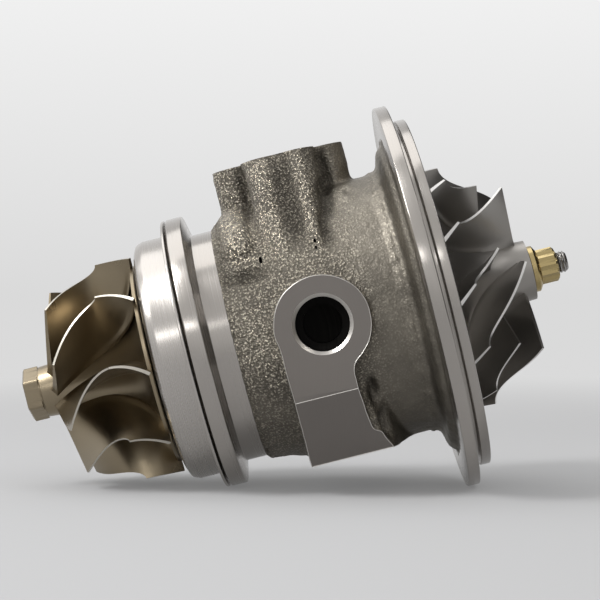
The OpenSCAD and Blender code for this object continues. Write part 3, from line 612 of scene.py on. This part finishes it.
def threaded(length, r_in, r_out, pitch):
    """Rows of a tapped hole from its bottom to just past its mouth, as a tool that cuts it."""
    steps = 8
    count = int(length / pitch * steps)
    rows = [(0, r_in)]
    for i in range(1, count):
        x = length * i / count

        def radius(angle, x=x):
            phase = (x / pitch - angle / (2 * math.pi)) % 1
            return r_in + (r_out - r_in) * max(0, 1 - abs(phase * 2 - 1) * 1.5)
        rows.append((x, radius))
    return rows + [(length, r_in), (length + 3, r_in)]


def sloped_block(mirror):
    """The metal in front of the lower half of a port's pad."""
    made = block((-20, -20, -30), (20, 0, 0))
    turn = Matrix.Rotation(LOWER_SLOPE, 4, "X")
    turn.translation = Vector((PORT_X, -PORT_Y, TONGUE_Z)) * MM
    bmesh.ops.transform(made, matrix=turn, verts=made.verts)
    if mirror:
        bmesh.ops.scale(made, vec=(1, -1, 1), verts=made.verts)
        bmesh.ops.reverse_faces(made, faces=made.faces)
    return made


CLEAR, SIDE_CLEAR = 60, 50  # past all metal
PAD_HALF_W, DRAIN_REACH = 12, 16.2
FLANGE_SEAT_X, FLANGE_SEAT_R = -7.2, 37.8
machined = [
    block((-80, -CLEAR, -CLEAR), (CAST_LEFT, CLEAR, CLEAR)),
    block((CAST_RIGHT, -CLEAR, -CLEAR), (20, CLEAR, CLEAR)),
    block((PORT_X - PAD_HALF_W, -SIDE_CLEAR, -40), (PORT_X + PAD_HALF_W, -PORT_Y, 14)),
    block((PORT_X - PAD_HALF_W, PORT_Y, -40), (PORT_X + PAD_HALF_W, SIDE_CLEAR, 14)),
    sloped_block(False), sloped_block(True),
    block((INLET_X - 18, -22, INLET_Z), (INLET_X + 18, 22, CLEAR)),
    block((DRAIN_X - 19, -SIDE_CLEAR, -CLEAR), (DRAIN_X + DRAIN_REACH, SIDE_CLEAR, DRAIN_Z)),
    shell([(FLANGE_SEAT_X, FLANGE_SEAT_R), (FLANGE_SEAT_X, CLEAR), (0, CLEAR), (0, FLANGE_SEAT_R)],
          192, ring=True),
]
for tool in machined:
    combine(casting, tool, "DIFFERENCE", 1)
BORE_STEPS = [(-60, 7.3), (-15.6, 7.3), (-15.6, 9), (-12.9, 9), (-12.9, 20), (-8.1, 20), (-8.1, 22),
              (10, 22)]
DRAIN_R, FEED_R = 8, 3.5
bored = [shell(BORE_STEPS)]
for side in (-1, 1):
    bored.append(turn_towards(shell(threaded(8, PORT_R, PORT_R + 0.6, 1.5)),
                              (PORT_X, side * (PORT_Y - 10), 0), (0, side, 0)))
    bored.append(turn_towards(shell([(0, WATERWAY_R), (10, WATERWAY_R)], 48),
                              (PORT_X, side * 14, 0), (0, side, 0)))
    bored.append(turn_towards(shell(threaded(12, 3.4, 4.0, 1.25), 48),
                              (DRAIN_X, side * DRAIN_BOLT_Y, -18), (0, 0, -1)))
    bored.append(turn_towards(shell(threaded(10, 2.5, 3.0, 1.0), 48),
                              (INLET_X + side * INLET_BOLT_X, 0, 29.4), (0, 0, 1)))
bored.append(turn_towards(shell([(0, FEED_R), (25, FEED_R)], 48), (INLET_X, 0, 16.4), (0, 0, 1)))
bored.append(turn_towards(shell([(0, DRAIN_R), (20, DRAIN_R)]), (DRAIN_X, 0, -12), (0, 0, -1)))
for tool in bored:
    combine(casting, tool, "DIFFERENCE", 2)
mouth_depth = PORT_MOUTH_R - PORT_R
for side in (-1, 1):
    mouth = shell([(-0.6, PORT_R - 0.6), (mouth_depth + 0.5, PORT_MOUTH_R + 0.5)])
    turn_towards(mouth, (PORT_X, side * (PORT_Y - mouth_depth), 0), (0, side, 0))
    combine(casting, mouth, "DIFFERENCE", 3)

# Pits in the skin, in the near-black finish as painted shade.
PITS = ((-39.2, 16.8, 0.42, 0.9), (-26.6, 18.0, 0.32, 0.5), (-26.7, 16.5, 0.28, 0.45))
PIT_DEPTH = 1.1
for x, z, wide, high in PITS:
    spot = casting.ray_cast(Vector((x, -CLEAR, z)) * MM, Vector((0, 1, 0)))[1]
    pit = bmesh.new()
    bmesh.ops.create_icosphere(pit, subdivisions=2, radius=MM, matrix=Matrix.Translation(spot)
                               @ Matrix.Diagonal((wide, PIT_DEPTH, high, 1)))
    combine(casting, pit, "DIFFERENCE", 2)


def chains(edges):
    """Sorts loose edges into runs of neighbouring points."""
    beside = {}
    for edge in edges:
        for vert in edge.verts:
            beside.setdefault(vert, []).append(edge)
    left, runs = set(edges), []
    ends = [v for v in beside if len(beside[v]) != 2] + list(beside)
    for start in ends:
        while any(e in left for e in beside[start]):
            run, here = [start.co.copy()], start
            while True:
                ahead = [e for e in beside[here] if e in left]
                if not ahead or (len(run) > 1 and len(beside[here]) != 2):
                    break
                left.remove(ahead[0])
                here = ahead[0].other_vert(here)
                run.append(here.co.copy())
            runs.append(run)
    return runs


def spaced(run, gap):
    """Points at an even spacing along a run, each an average of the run near it."""
    points, travelled = [run[0]], 0
    for one, two in zip(run, run[1:]):
        travelled += (two - one).length
        if travelled >= gap:
            points.append(two)
            travelled = 0
    points.append(run[-1])
    evened = [(a + b + c) / 3 for a, b, c in zip(points, points[1:], points[2:])]
    return [points[0]] + evened + [points[-1]]


BURR_R, BURR_STEP, BURR_LEAST, BURR_OVERLAP = 0.085, 0.5, 2, 0.02
BURR_HALF_W, BURR_FROM_Y, BURR_BEND = 13, 20, 0.2


def add_burr(piece, r, index):
    """A thin bright bead along the edges of the milled faces, where the cutter left bare metal."""
    made = bmesh.new()
    made.from_mesh(piece.data)
    edges = []
    for edge in made.edges:
        at = edge.verts[0].co / MM
        beside_pad = abs(at.x - PORT_X) <= BURR_HALF_W and abs(at.y) >= BURR_FROM_Y
        if len(edge.link_faces) != 2 or not beside_pad:
            continue
        indices = sorted(face.material_index for face in edge.link_faces)
        if indices == [0, 1] or (indices == [1, 1] and edge.calc_face_angle() > BURR_BEND):
            edges.append(edge)
    wire = bpy.data.curves.new("burr", "CURVE")
    wire.dimensions = "3D"
    wire.bevel_depth = r * MM
    wire.bevel_resolution = 1
    wire.use_fill_caps = True
    for run in chains(edges):
        if sum((b - a).length for a, b in zip(run, run[1:])) < BURR_LEAST * MM:
            continue
        points = spaced(run, BURR_STEP * MM)
        for end, inner in ((0, 1), (-1, -2)):
            outward = (points[end] - points[inner]).normalized()
            points[end] = points[end] + outward * BURR_OVERLAP * MM
        spline = wire.splines.new("POLY")
        spline.points.add(len(points) - 1)
        for target, point in zip(spline.points, points):
            target.co = (*point, 1)
    tube = add_object("burr", wire)
    graph = bpy.context.evaluated_depsgraph_get()
    wire_mesh = bpy.data.meshes.new_from_object(tube.evaluated_get(graph))
    bpy.data.objects.remove(tube)
    bpy.data.curves.remove(wire)
    bead = bmesh.new()
    bead.from_mesh(wire_mesh)
    bmesh.ops.remove_doubles(bead, verts=bead.verts, dist=0.001 * MM)
    bmesh.ops.recalc_face_normals(bead, faces=bead.faces)
    for face in bead.faces:
        face.material_index = index
    bead.to_mesh(wire_mesh)
    bead.free()
    made.from_mesh(wire_mesh)
    made.to_mesh(piece.data)
    made.free()
    bpy.data.meshes.remove(wire_mesh)


add_burr(casting, BURR_R, 3)
crisp(casting.data)
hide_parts("center_housing")
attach(casting, "housing")

# Turned ends of the housing: the clamp ring with its neck on the hot side, and the flange with
# its rim, groove and register on the cold side. They are cut on a lathe from the same casting.
def rounded(corners, r=0.2, steps=3):
    """A closed outline of (x, radius) points with its corners broken by small arcs."""
    points = []
    for i, (x, y) in enumerate(corners):
        here = Vector((x, y))
        before = Vector(corners[i - 1]) - here
        after = Vector(corners[(i + 1) % len(corners)]) - here
        reach = min(r, before.length / 3, after.length / 3)
        one, two = here + before.normalized() * reach, here + after.normalized() * reach
        for step in range(steps + 1):
            u = step / steps
            points.append(tuple(one * (1 - u) ** 2 + here * 2 * u * (1 - u) + two * u ** 2))
    return points


def turned(name, corners, finish, r=0.2, around=192):
    """A ring that is turned on the shaft's axis from a closed outline."""
    made = add_object(name, as_mesh(name, shell(rounded(corners, r), around, ring=True)))
    made.data.materials.append(finish)
    crisp(made.data, 40)
    return made


turned_iron = metal("turned_iron", (0.43, 0.404, 0.377), (0.35, 0.328, 0.304), (0.20, 0.28), 0.75,
                    bump=0.01, around=True)
clamp_ring = turned("housing_clamp_ring", [
    (-64.1, 8.25), (-64.1, 12.25), (-55.1, 12.25), (-55.1, 13.75), (-56.3, 24.2), (-58.7, 24.2),
    (-58.7, 31.7), (-55.1, 31.7), (-54.0, 26.8), (-49.0, 26.8), (-49.0, 7.3), (-54.3, 7.3),
    (-54.3, 9.85), (-56.7, 9.85), (-56.7, 8.25)], turned_iron, 0.3)
flange = turned("housing_flange", [
    (-6.25, 22), (-6.25, 44.9), (-3.5, 44.9), (-3.5, 38.7), (-2.25, 38.7), (-2.25, 40.9), (0, 40.9),
    (0, 28.8), (-1.5, 28.8), (-1.5, 22), (-1.9, 22), (-1.9, 23.3), (-3.1, 23.3), (-3.1, 22)],
    turned_iron, 0.25)
for piece in (clamp_ring, flange):
    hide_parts("center_housing")
    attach(piece, "housing")

# Bearings and their rings: floating bronze bushes on the shaft, kept in place by sprung wire
# rings, with a bronze thrust plate and its hardened collars at the cold end.
bearing_bronze = metal("bearing_bronze", (0.62, 0.42, 0.20), (0.50, 0.33, 0.15), (0.25, 0.38), 0.3,
                       around=True)
spring_steel = metal("spring_steel", (0.38, 0.37, 0.36), (0.28, 0.27, 0.26), (0.3, 0.45))
ground_steel = metal("ground_steel", (0.62, 0.60, 0.58), (0.52, 0.50, 0.48), (0.18, 0.28), 0.3,
                     around=True)
black_steel = metal("black_steel", (0.12, 0.115, 0.11), (0.07, 0.07, 0.068), (0.35, 0.5))
pressed_sheet = metal("pressed_sheet", (0.49, 0.463, 0.435), (0.41, 0.387, 0.363), (0.24, 0.29), 0.6,
                      bump=0.005, around=True)
faced_iron = metal("faced_iron", (0.50, 0.475, 0.45), (0.40, 0.38, 0.36), (0.28, 0.40), 0.5,
                   around=True)
seal_rubber, make, link = finish_of("seal_rubber")
place = make("ShaderNodeTexCoord")
bloom = make("ShaderNodeTexNoise", Scale=900.0, Detail=3.0)
link(place.outputs["Object"], bloom.inputs["Vector"])
dust = ranged(make, (0, 1), (0.45, 0.75))
link(bloom.outputs["Fac"], dust.inputs["Value"])
skin = make("ShaderNodeBsdfPrincipled")
skin.inputs["Base Color"].default_value = (0.015, 0.015, 0.016, 1)
link(dust.outputs["Result"], skin.inputs["Roughness"])
out = make("ShaderNodeOutputMaterial")
link(skin.outputs["BSDF"], out.inputs["Surface"])
inner_finishes = {
    bearing_bronze: ("turbine_journal_bearing", "compressor_journal_bearing", "thrust_bearing"),
    spring_steel: ("retaining_ring_turbine_outer", "retaining_ring_turbine_inner",
                   "retaining_ring_compressor", "turbine_seal_ring", "compressor_seal_ring",
                   "seal_plate_snap_ring"),
    ground_steel: ("thrust_ring", "thrust_sleeve"),
    black_steel: ("thrust_screw_1", "thrust_screw_2", "thrust_screw_3"),
    pressed_sheet: ("oil_deflector",),
    faced_iron: ("seal_plate",),
    seal_rubber: ("seal_plate_o_ring",),
}
for finish, names in inner_finishes.items():
    for name in names:
        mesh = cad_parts[name].data
        mesh.materials.clear()
        mesh.materials.append(finish)

# Heat shield: a drum pressed from stainless sheet, whose lip is clamped between the clamp ring
# and the turbine housing. It keeps the exhaust's heat off the bearings.
heat_shield = turned("heat_shield_drum", [
    (-67.6, 9.85), (-66.6, 9.85), (-66.6, 26.4), (-65.8, 27.2), (-58.72, 27.2), (-58.72, 29.2),
    (-59.25, 29.8), (-59.25, 31.6), (-59.9, 31.6), (-59.9, 28.6), (-60.1, 28.2), (-65.4, 28.2),
    (-66.9, 27.6), (-67.6, 26.0)], pressed_sheet, 0.35)
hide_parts("heat_shield")
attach(heat_shield, "housing")

# Turbine wheel: one investment casting in a heat-resisting alloy, welded to the shaft. The tips
# of its blades are ground to fit the turbine housing, so their edges are bright.
TURBINE_R, TURBINE_HUB_X, TURBINE_KINK_X = 25.7, -69.2, -77.2
TURBINE_TIP_X, TURBINE_END_X, TURBINE_HUB_R, TURBINE_OUTLET_R = -89.4, -93.0, 6.1, 22.1
TURBINE_BACK_X, TURBINE_DISC_R, WELD_X, WELD_R = -68.3, 23.3, -66.7, 8.0
NOSE_X, NOSE_HEX_R, NOSE_HEX_L = -99.8, 6.3, 3.6
INLET_SWEEP, OUTLET_SWEEP, TURBINE_COUNT, TURBINE_FIRST = 0.106, 0.2, 9, 45.7


def quarter(start, end, u):
    """A point of a quarter ellipse that leaves along the radius and ends along the shaft."""
    a = math.pi / 2 * u
    return mix(start[0], end[0], 1 - math.cos(a)), mix(start[1], end[1], math.sin(a))


def polar(x, r, degrees):
    """A point at a place along the shaft, a radius and an angle from the top to the front."""
    a = math.radians(degrees)
    return Vector((x, -r * math.sin(a), r * math.cos(a)))


def turbine_middle(m, s):
    """Middle surface of a turbine blade, m along the flow and s from the hub to the tip."""
    hub = quarter((TURBINE_HUB_X, TURBINE_R), (TURBINE_END_X, TURBINE_HUB_R), m)
    tip = quarter((TURBINE_KINK_X, TURBINE_R), (TURBINE_TIP_X, TURBINE_OUTLET_R), m)
    x, r = mix(hub[0], tip[0], s), mix(hub[1], tip[1], s)
    d = x - TURBINE_KINK_X
    return polar(x, r, (OUTLET_SWEEP if d < 0 else INLET_SWEEP) * d * d)


RIM_T, RIM_REACH, FLARE_REACH, NEAR = 1.7, 0.3, 0.045, 0.005


def blade_mesh(name, middle, m_start, root_s, root_t, tip_t, along, out, flare, rim_m):
    """One closed blade, thickened about its middle surface and flared into the hub. It is thin and
    ground at its tip and at its end on the wheel's rim, which is at rim_m."""
    made = bmesh.new()
    edge = made.faces.layers.bool.new("ground_edge")
    sides = []
    for side in (1, -1):
        grid = []
        for i in range(along + 1):
            row = []
            m = mix(m_start, 1, i / along)
            for j in range(out + 1):
                s = mix(root_s, 1, (j / out) ** 1.3)
                flow = middle(m + NEAR, s) - middle(m - NEAR, s)
                span = middle(m, s + NEAR) - middle(m, s - NEAR)
                full = ease(0, RIM_REACH, abs(m - rim_m))
                half = mix(mix(RIM_T * tip_t, root_t, full), tip_t, max(0, s)) / 2
                half += flare * full * math.exp(-max(0, s) / FLARE_REACH)
                point = middle(m, s) + side * half * flow.cross(span).normalized()
                row.append(made.verts.new(point * MM))
            grid.append(row)
        sides.append(grid)
    front, back = sides
    for i in range(along):
        for j in range(out):
            for grid, order in ((front, 1), (back, -1)):
                quad = (grid[i][j], grid[i][j + 1], grid[i + 1][j + 1], grid[i + 1][j])
                made.faces.new(quad[::order])
    for i in range(along):
        made.faces.new((front[i][0], front[i + 1][0], back[i + 1][0], back[i][0]))
        tip = made.faces.new((front[i][out], back[i][out], back[i + 1][out], front[i + 1][out]))
        tip[edge] = True
    for j in range(out):
        for i in (0, along):
            rim = made.faces.new((front[i][j], back[i][j], back[i][j + 1], front[i][j + 1]))
            rim[edge] = i == rim_m * along
    bmesh.ops.recalc_face_normals(made, faces=made.faces)
    return as_mesh(name, made)


def blade_ring_tree():
    """Sets copies of one blade around the shaft's axis, X."""
    tree = bpy.data.node_groups.new("blade_ring", "GeometryNodeTree")
    for label, kind in (("Geometry", "NodeSocketGeometry"), ("Blades", "NodeSocketInt"),
                        ("First blade", "NodeSocketFloat"), ("Metal", "NodeSocketMaterial"),
                        ("Ground metal", "NodeSocketMaterial")):
        tree.interface.new_socket(label, in_out="INPUT", socket_type=kind)
    tree.interface.new_socket("Geometry", in_out="OUTPUT", socket_type="NodeSocketGeometry")
    make, link = nodes_of(tree)
    start, end = make("NodeGroupInput"), make("NodeGroupOutput")
    places = make("GeometryNodeMeshLine", mode="OFFSET")
    places.inputs["Offset"].default_value = (0, 0, 0)
    link(start.outputs["Blades"], places.inputs["Count"])
    step = make("ShaderNodeMath", operation="DIVIDE")
    step.inputs[0].default_value = 2 * math.pi
    link(start.outputs["Blades"], step.inputs[1])
    number = make("GeometryNodeInputIndex")
    turn = make("ShaderNodeMath", operation="MULTIPLY_ADD")
    link(number.outputs["Index"], turn.inputs[0])
    link(step.outputs["Value"], turn.inputs[1])
    link(start.outputs["First blade"], turn.inputs[2])
    about = make("ShaderNodeCombineXYZ")
    link(turn.outputs["Value"], about.inputs["X"])
    copies = make("GeometryNodeInstanceOnPoints")
    link(places.outputs["Mesh"], copies.inputs["Points"])
    link(start.outputs["Geometry"], copies.inputs["Instance"])
    link(about.outputs["Vector"], copies.inputs["Rotation"])
    real = make("GeometryNodeRealizeInstances")
    link(copies.outputs["Instances"], real.inputs["Geometry"])
    body = make("GeometryNodeSetMaterial")
    link(real.outputs["Geometry"], body.inputs["Geometry"])
    link(start.outputs["Metal"], body.inputs["Material"])
    mark = make("GeometryNodeInputNamedAttribute", data_type="BOOLEAN")
    mark.inputs["Name"].default_value = "ground_edge"
    rims = make("GeometryNodeSetMaterial")
    link(body.outputs["Geometry"], rims.inputs["Geometry"])
    link(mark.outputs["Attribute"], rims.inputs["Selection"])
    link(start.outputs["Ground metal"], rims.inputs["Material"])
    link(rims.outputs["Geometry"], end.inputs["Geometry"])
    return tree


blade_ring = blade_ring_tree()


def set_inputs(modifier, values):
    """Sets a modifier's inputs by the identifiers of the tree's named sockets."""
    for item in modifier.node_group.interface.items_tree:
        if item.in_out == "INPUT" and item.name in values:
            modifier[item.identifier] = values[item.name]


def bladed(name, mesh, count, first, finish, edge_finish):
    """A ring of blades as one plain mesh."""
    mesh.materials.append(finish)
    mesh.materials.append(edge_finish)
    made = add_object(name, mesh)
    ring = made.modifiers.new("ring", "NODES")
    ring.node_group = blade_ring
    set_inputs(ring, {"Blades": count, "First blade": math.radians(first), "Metal": finish,
                      "Ground metal": edge_finish})
    plain(made)
    return made


wheel_alloy = metal("wheel_alloy", (0.31, 0.257, 0.178), (0.20, 0.165, 0.113), (0.24, 0.40), lines=0)
ground_alloy = metal("ground_alloy", (0.56, 0.53, 0.47), (0.46, 0.435, 0.38), (0.30, 0.42), lines=0)
turbine = bladed(
    "turbine_blades",
    blade_mesh("turbine_blade", turbine_middle, 0, -0.06, 1.6, 0.44, 44, 16, 0.5, 0),
    TURBINE_COUNT, TURBINE_FIRST, wheel_alloy, ground_alloy)


def hexagon(r):
    """Radius of a six-sided bar with a corner radius of r at an angle from a corner."""
    flat = r * math.cos(math.pi / 6)
    return lambda angle: min(r * 0.985, flat / math.cos((angle % (math.pi / 3)) - math.pi / 6))


hub_rows = [(WELD_X, WELD_R), (TURBINE_BACK_X + 0.2, WELD_R + 0.9), (TURBINE_BACK_X, WELD_R + 1.2),
            (TURBINE_BACK_X, TURBINE_DISC_R - 0.2), (TURBINE_BACK_X - 0.2, TURBINE_DISC_R)]
hub_rows += [quarter((TURBINE_HUB_X, TURBINE_DISC_R), (TURBINE_END_X, TURBINE_HUB_R), i / 28)
             for i in range(29)]
neck_x = NOSE_X + NOSE_HEX_L
hub_rows += [(neck_x + 0.3, TURBINE_HUB_R - 0.2), (neck_x + 0.15, TURBINE_HUB_R - 0.45),
             (neck_x, TURBINE_HUB_R - 0.45), (neck_x - 0.1, hexagon(NOSE_HEX_R)),
             (NOSE_X + 0.35, hexagon(NOSE_HEX_R)), (NOSE_X, hexagon(NOSE_HEX_R - 0.5))]
combine(turbine, shell(hub_rows, 192), "UNION", turbine.data.materials.find(wheel_alloy.name))
crisp(turbine.data, 38)
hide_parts("turbine_wheel")
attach(turbine, "rotor")

# Compressor wheel: cast aluminium with six full blades and a short blade between each pair. The
# blades' tips and the hub's front are turned; the blades' tips show brighter than the cast sides.
COMPRESSOR_R, DISC_X, DISC_BACK_X, WHEEL_BACK_X = 28.2, 0.3, -0.9, -1.8
COMPRESSOR_TIP_X, COMPRESSOR_EDGE_X, COMPRESSOR_NOSE_X = 5.0, 17.4, 20.1
COMPRESSOR_INLET_R, COMPRESSOR_NOSE_R, SLEEVE_R, STUB_R = 21.8, 6.95, 6.2, 2.5
COMPRESSOR_COUNT, COMPRESSOR_FIRST, SPLITTER_START = 6, 24, 0.27
WRAP, WRAP_EARLY, LEAN_IN, LEAN_OUT, TIP_CUT, HUB_CUT = 35.5, 0.75, -6, 8, 0.1, 0.3
edge_share = (COMPRESSOR_NOSE_X - COMPRESSOR_EDGE_X) / (COMPRESSOR_NOSE_X - DISC_X)
edge_u = math.acos(edge_share) * 2 / math.pi


def compressor_middle(m, s):
    """Middle surface of a compressor blade, m from the inlet edge to the outlet edge."""
    rim_r = COMPRESSOR_R - TIP_CUT
    hub = quarter((DISC_X, rim_r), (COMPRESSOR_NOSE_X, COMPRESSOR_NOSE_R), edge_u * (1 - m))
    tip = quarter((COMPRESSOR_TIP_X, rim_r), (COMPRESSOR_EDGE_X, COMPRESSOR_INLET_R), 1 - m)
    x, r = mix(hub[0], tip[0], s), mix(hub[1], tip[1], s)
    wrap = WRAP * (WRAP_EARLY * (1 - (1 - m) ** 3) + (1 - WRAP_EARLY) * m)
    return polar(x, r, wrap + mix(mix(LEAN_IN, LEAN_OUT, m), 0, s))


cast_aluminium = metal("cast_aluminium", (0.35, 0.332, 0.31), (0.27, 0.256, 0.238), (0.28, 0.44),
                       lines=0)
bright_aluminium = metal("bright_aluminium", (0.80, 0.785, 0.76), (0.70, 0.685, 0.66), (0.30, 0.42),
                         lines=0)
compressor = bladed(
    "compressor_blades",
    blade_mesh("full_blade", compressor_middle, 0, -0.09, 1.3, 0.52, 44, 16, 0.45, 1),
    COMPRESSOR_COUNT, COMPRESSOR_FIRST, cast_aluminium, bright_aluminium)
splitters = bladed(
    "splitter_blades",
    blade_mesh("short_blade", compressor_middle, SPLITTER_START, -0.09, 1.2, 0.52, 34, 16, 0.45, 1),
    COMPRESSOR_COUNT, COMPRESSOR_FIRST + 180 / COMPRESSOR_COUNT, cast_aluminium, bright_aluminium)
hub_rows = [(WHEEL_BACK_X, SLEEVE_R + 0.3), (DISC_BACK_X - 0.5, SLEEVE_R + 1.5),
            (DISC_BACK_X, COMPRESSOR_R - 0.5), (DISC_BACK_X + 0.2, COMPRESSOR_R - HUB_CUT)]
hub_rows += [quarter((DISC_X, COMPRESSOR_R - HUB_CUT), (COMPRESSOR_NOSE_X, COMPRESSOR_NOSE_R), i / 30)
             for i in range(31)]
combine(compressor, shell(hub_rows, 192), "UNION", compressor.data.materials.find(cast_aluminium.name))
joined = bmesh.new()
joined.from_mesh(splitters.data)
combine(compressor, joined, "UNION", None)
bpy.data.objects.remove(splitters)
bore_r = STUB_R + 0.02
combine(compressor, shell([(WHEEL_BACK_X - 1, bore_r), (COMPRESSOR_NOSE_X + 1, bore_r)], 64),
        "DIFFERENCE", compressor.data.materials.find(cast_aluminium.name))
crisp(compressor.data, 38)
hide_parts("compressor_wheel")
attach(compressor, "rotor")

# Shaft nut: a yellow-plated collar nut with a twelve-point head, which clamps the compressor
# wheel against the shaft's shoulder.
NUT_BACK_X, NUT_COLLAR_X, NUT_FACE_X, NUT_TOP_X = 20.1, 21.5, 22.3, 26.5
NUT_COLLAR_R, NUT_FLAT_R = 5.4, 3.5


def twelve_points(limit):
    """Radius of two crossed hexagons, cut back to a limit by the chamfer."""
    def radius(angle):
        wave = [NUT_FLAT_R / math.cos(((angle + shift) % (math.pi / 3)) - math.pi / 6)
                for shift in (0, math.pi / 6)]
        return min(max(wave), limit)
    return radius


nut_rows = [(NUT_BACK_X, STUB_R), (NUT_BACK_X, NUT_COLLAR_R - 0.3), (NUT_BACK_X + 0.3, NUT_COLLAR_R),
            (NUT_COLLAR_X - 0.1, NUT_COLLAR_R), (NUT_COLLAR_X + 0.1, NUT_COLLAR_R - 0.15),
            (NUT_FACE_X - 0.1, NUT_FLAT_R + 0.75), (NUT_FACE_X, twelve_points(9)),
            (NUT_TOP_X - 0.5, twelve_points(9)), (NUT_TOP_X - 0.1, twelve_points(NUT_FLAT_R + 0.05)),
            (NUT_TOP_X, NUT_FLAT_R - 0.2), (NUT_TOP_X, STUB_R + 0.5), (NUT_TOP_X - 0.5, STUB_R)]
yellow_plate = metal("yellow_plate", (0.48, 0.38, 0.185), (0.38, 0.295, 0.14), (0.16, 0.28), lines=1500)
nut_mesh = as_mesh("compressor_nut_plated", shell(nut_rows, 192, ring=True))
nut = add_object("compressor_nut_plated", nut_mesh)
nut.data.materials.append(yellow_plate)
crisp(nut.data, 25)
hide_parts("compressor_nut")
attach(nut, "rotor")

# Shaft: ground steel with a wide seal land at the hot end, two journals and a thin threaded end
# that carries the compressor wheel and its nut.
SHAFT_END_X, THREAD_X, THREAD_PITCH, THREAD_DEPTH, THREAD_STEPS = 28.9, 25.4, 0.8, 0.28, 36


def thread_radius(x):
    """Radius of the shaft's thread at a place along it, as a function of the angle."""
    def radius(angle):
        phase = (x / THREAD_PITCH - angle / (2 * math.pi)) % 1
        return STUB_R - THREAD_DEPTH * abs(phase * 2 - 1) * ease(THREAD_X, THREAD_X + 0.4, x)
    return radius


shaft_rows = [(-66.7, 8), (-61.25, 8), (-61.25, 5.8), (-59.55, 5.8), (-59.55, 8), (-56.1, 8),
              (-55.1, 7), (-55.1, 4.8), (-54.3, 4), (-41.9, 4), (-41.5, 3.6), (-26.9, 3.6),
              (-26.5, 4), (-15, 4), (-15, STUB_R), (THREAD_X, STUB_R)]
for i in range(1, THREAD_STEPS):
    x = mix(THREAD_X, SHAFT_END_X - 0.4, i / THREAD_STEPS)
    shaft_rows.append((x, thread_radius(x)))
shaft_rows += [(SHAFT_END_X - 0.38, STUB_R - THREAD_DEPTH), (SHAFT_END_X, STUB_R - THREAD_DEPTH - 0.35)]
shaft = add_object("shaft_ground", as_mesh("shaft_ground", shell(shaft_rows)))
shaft.data.materials.append(spring_steel)
crisp(shaft.data, 35)
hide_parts("rotor_shaft")
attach(shaft, "rotor")
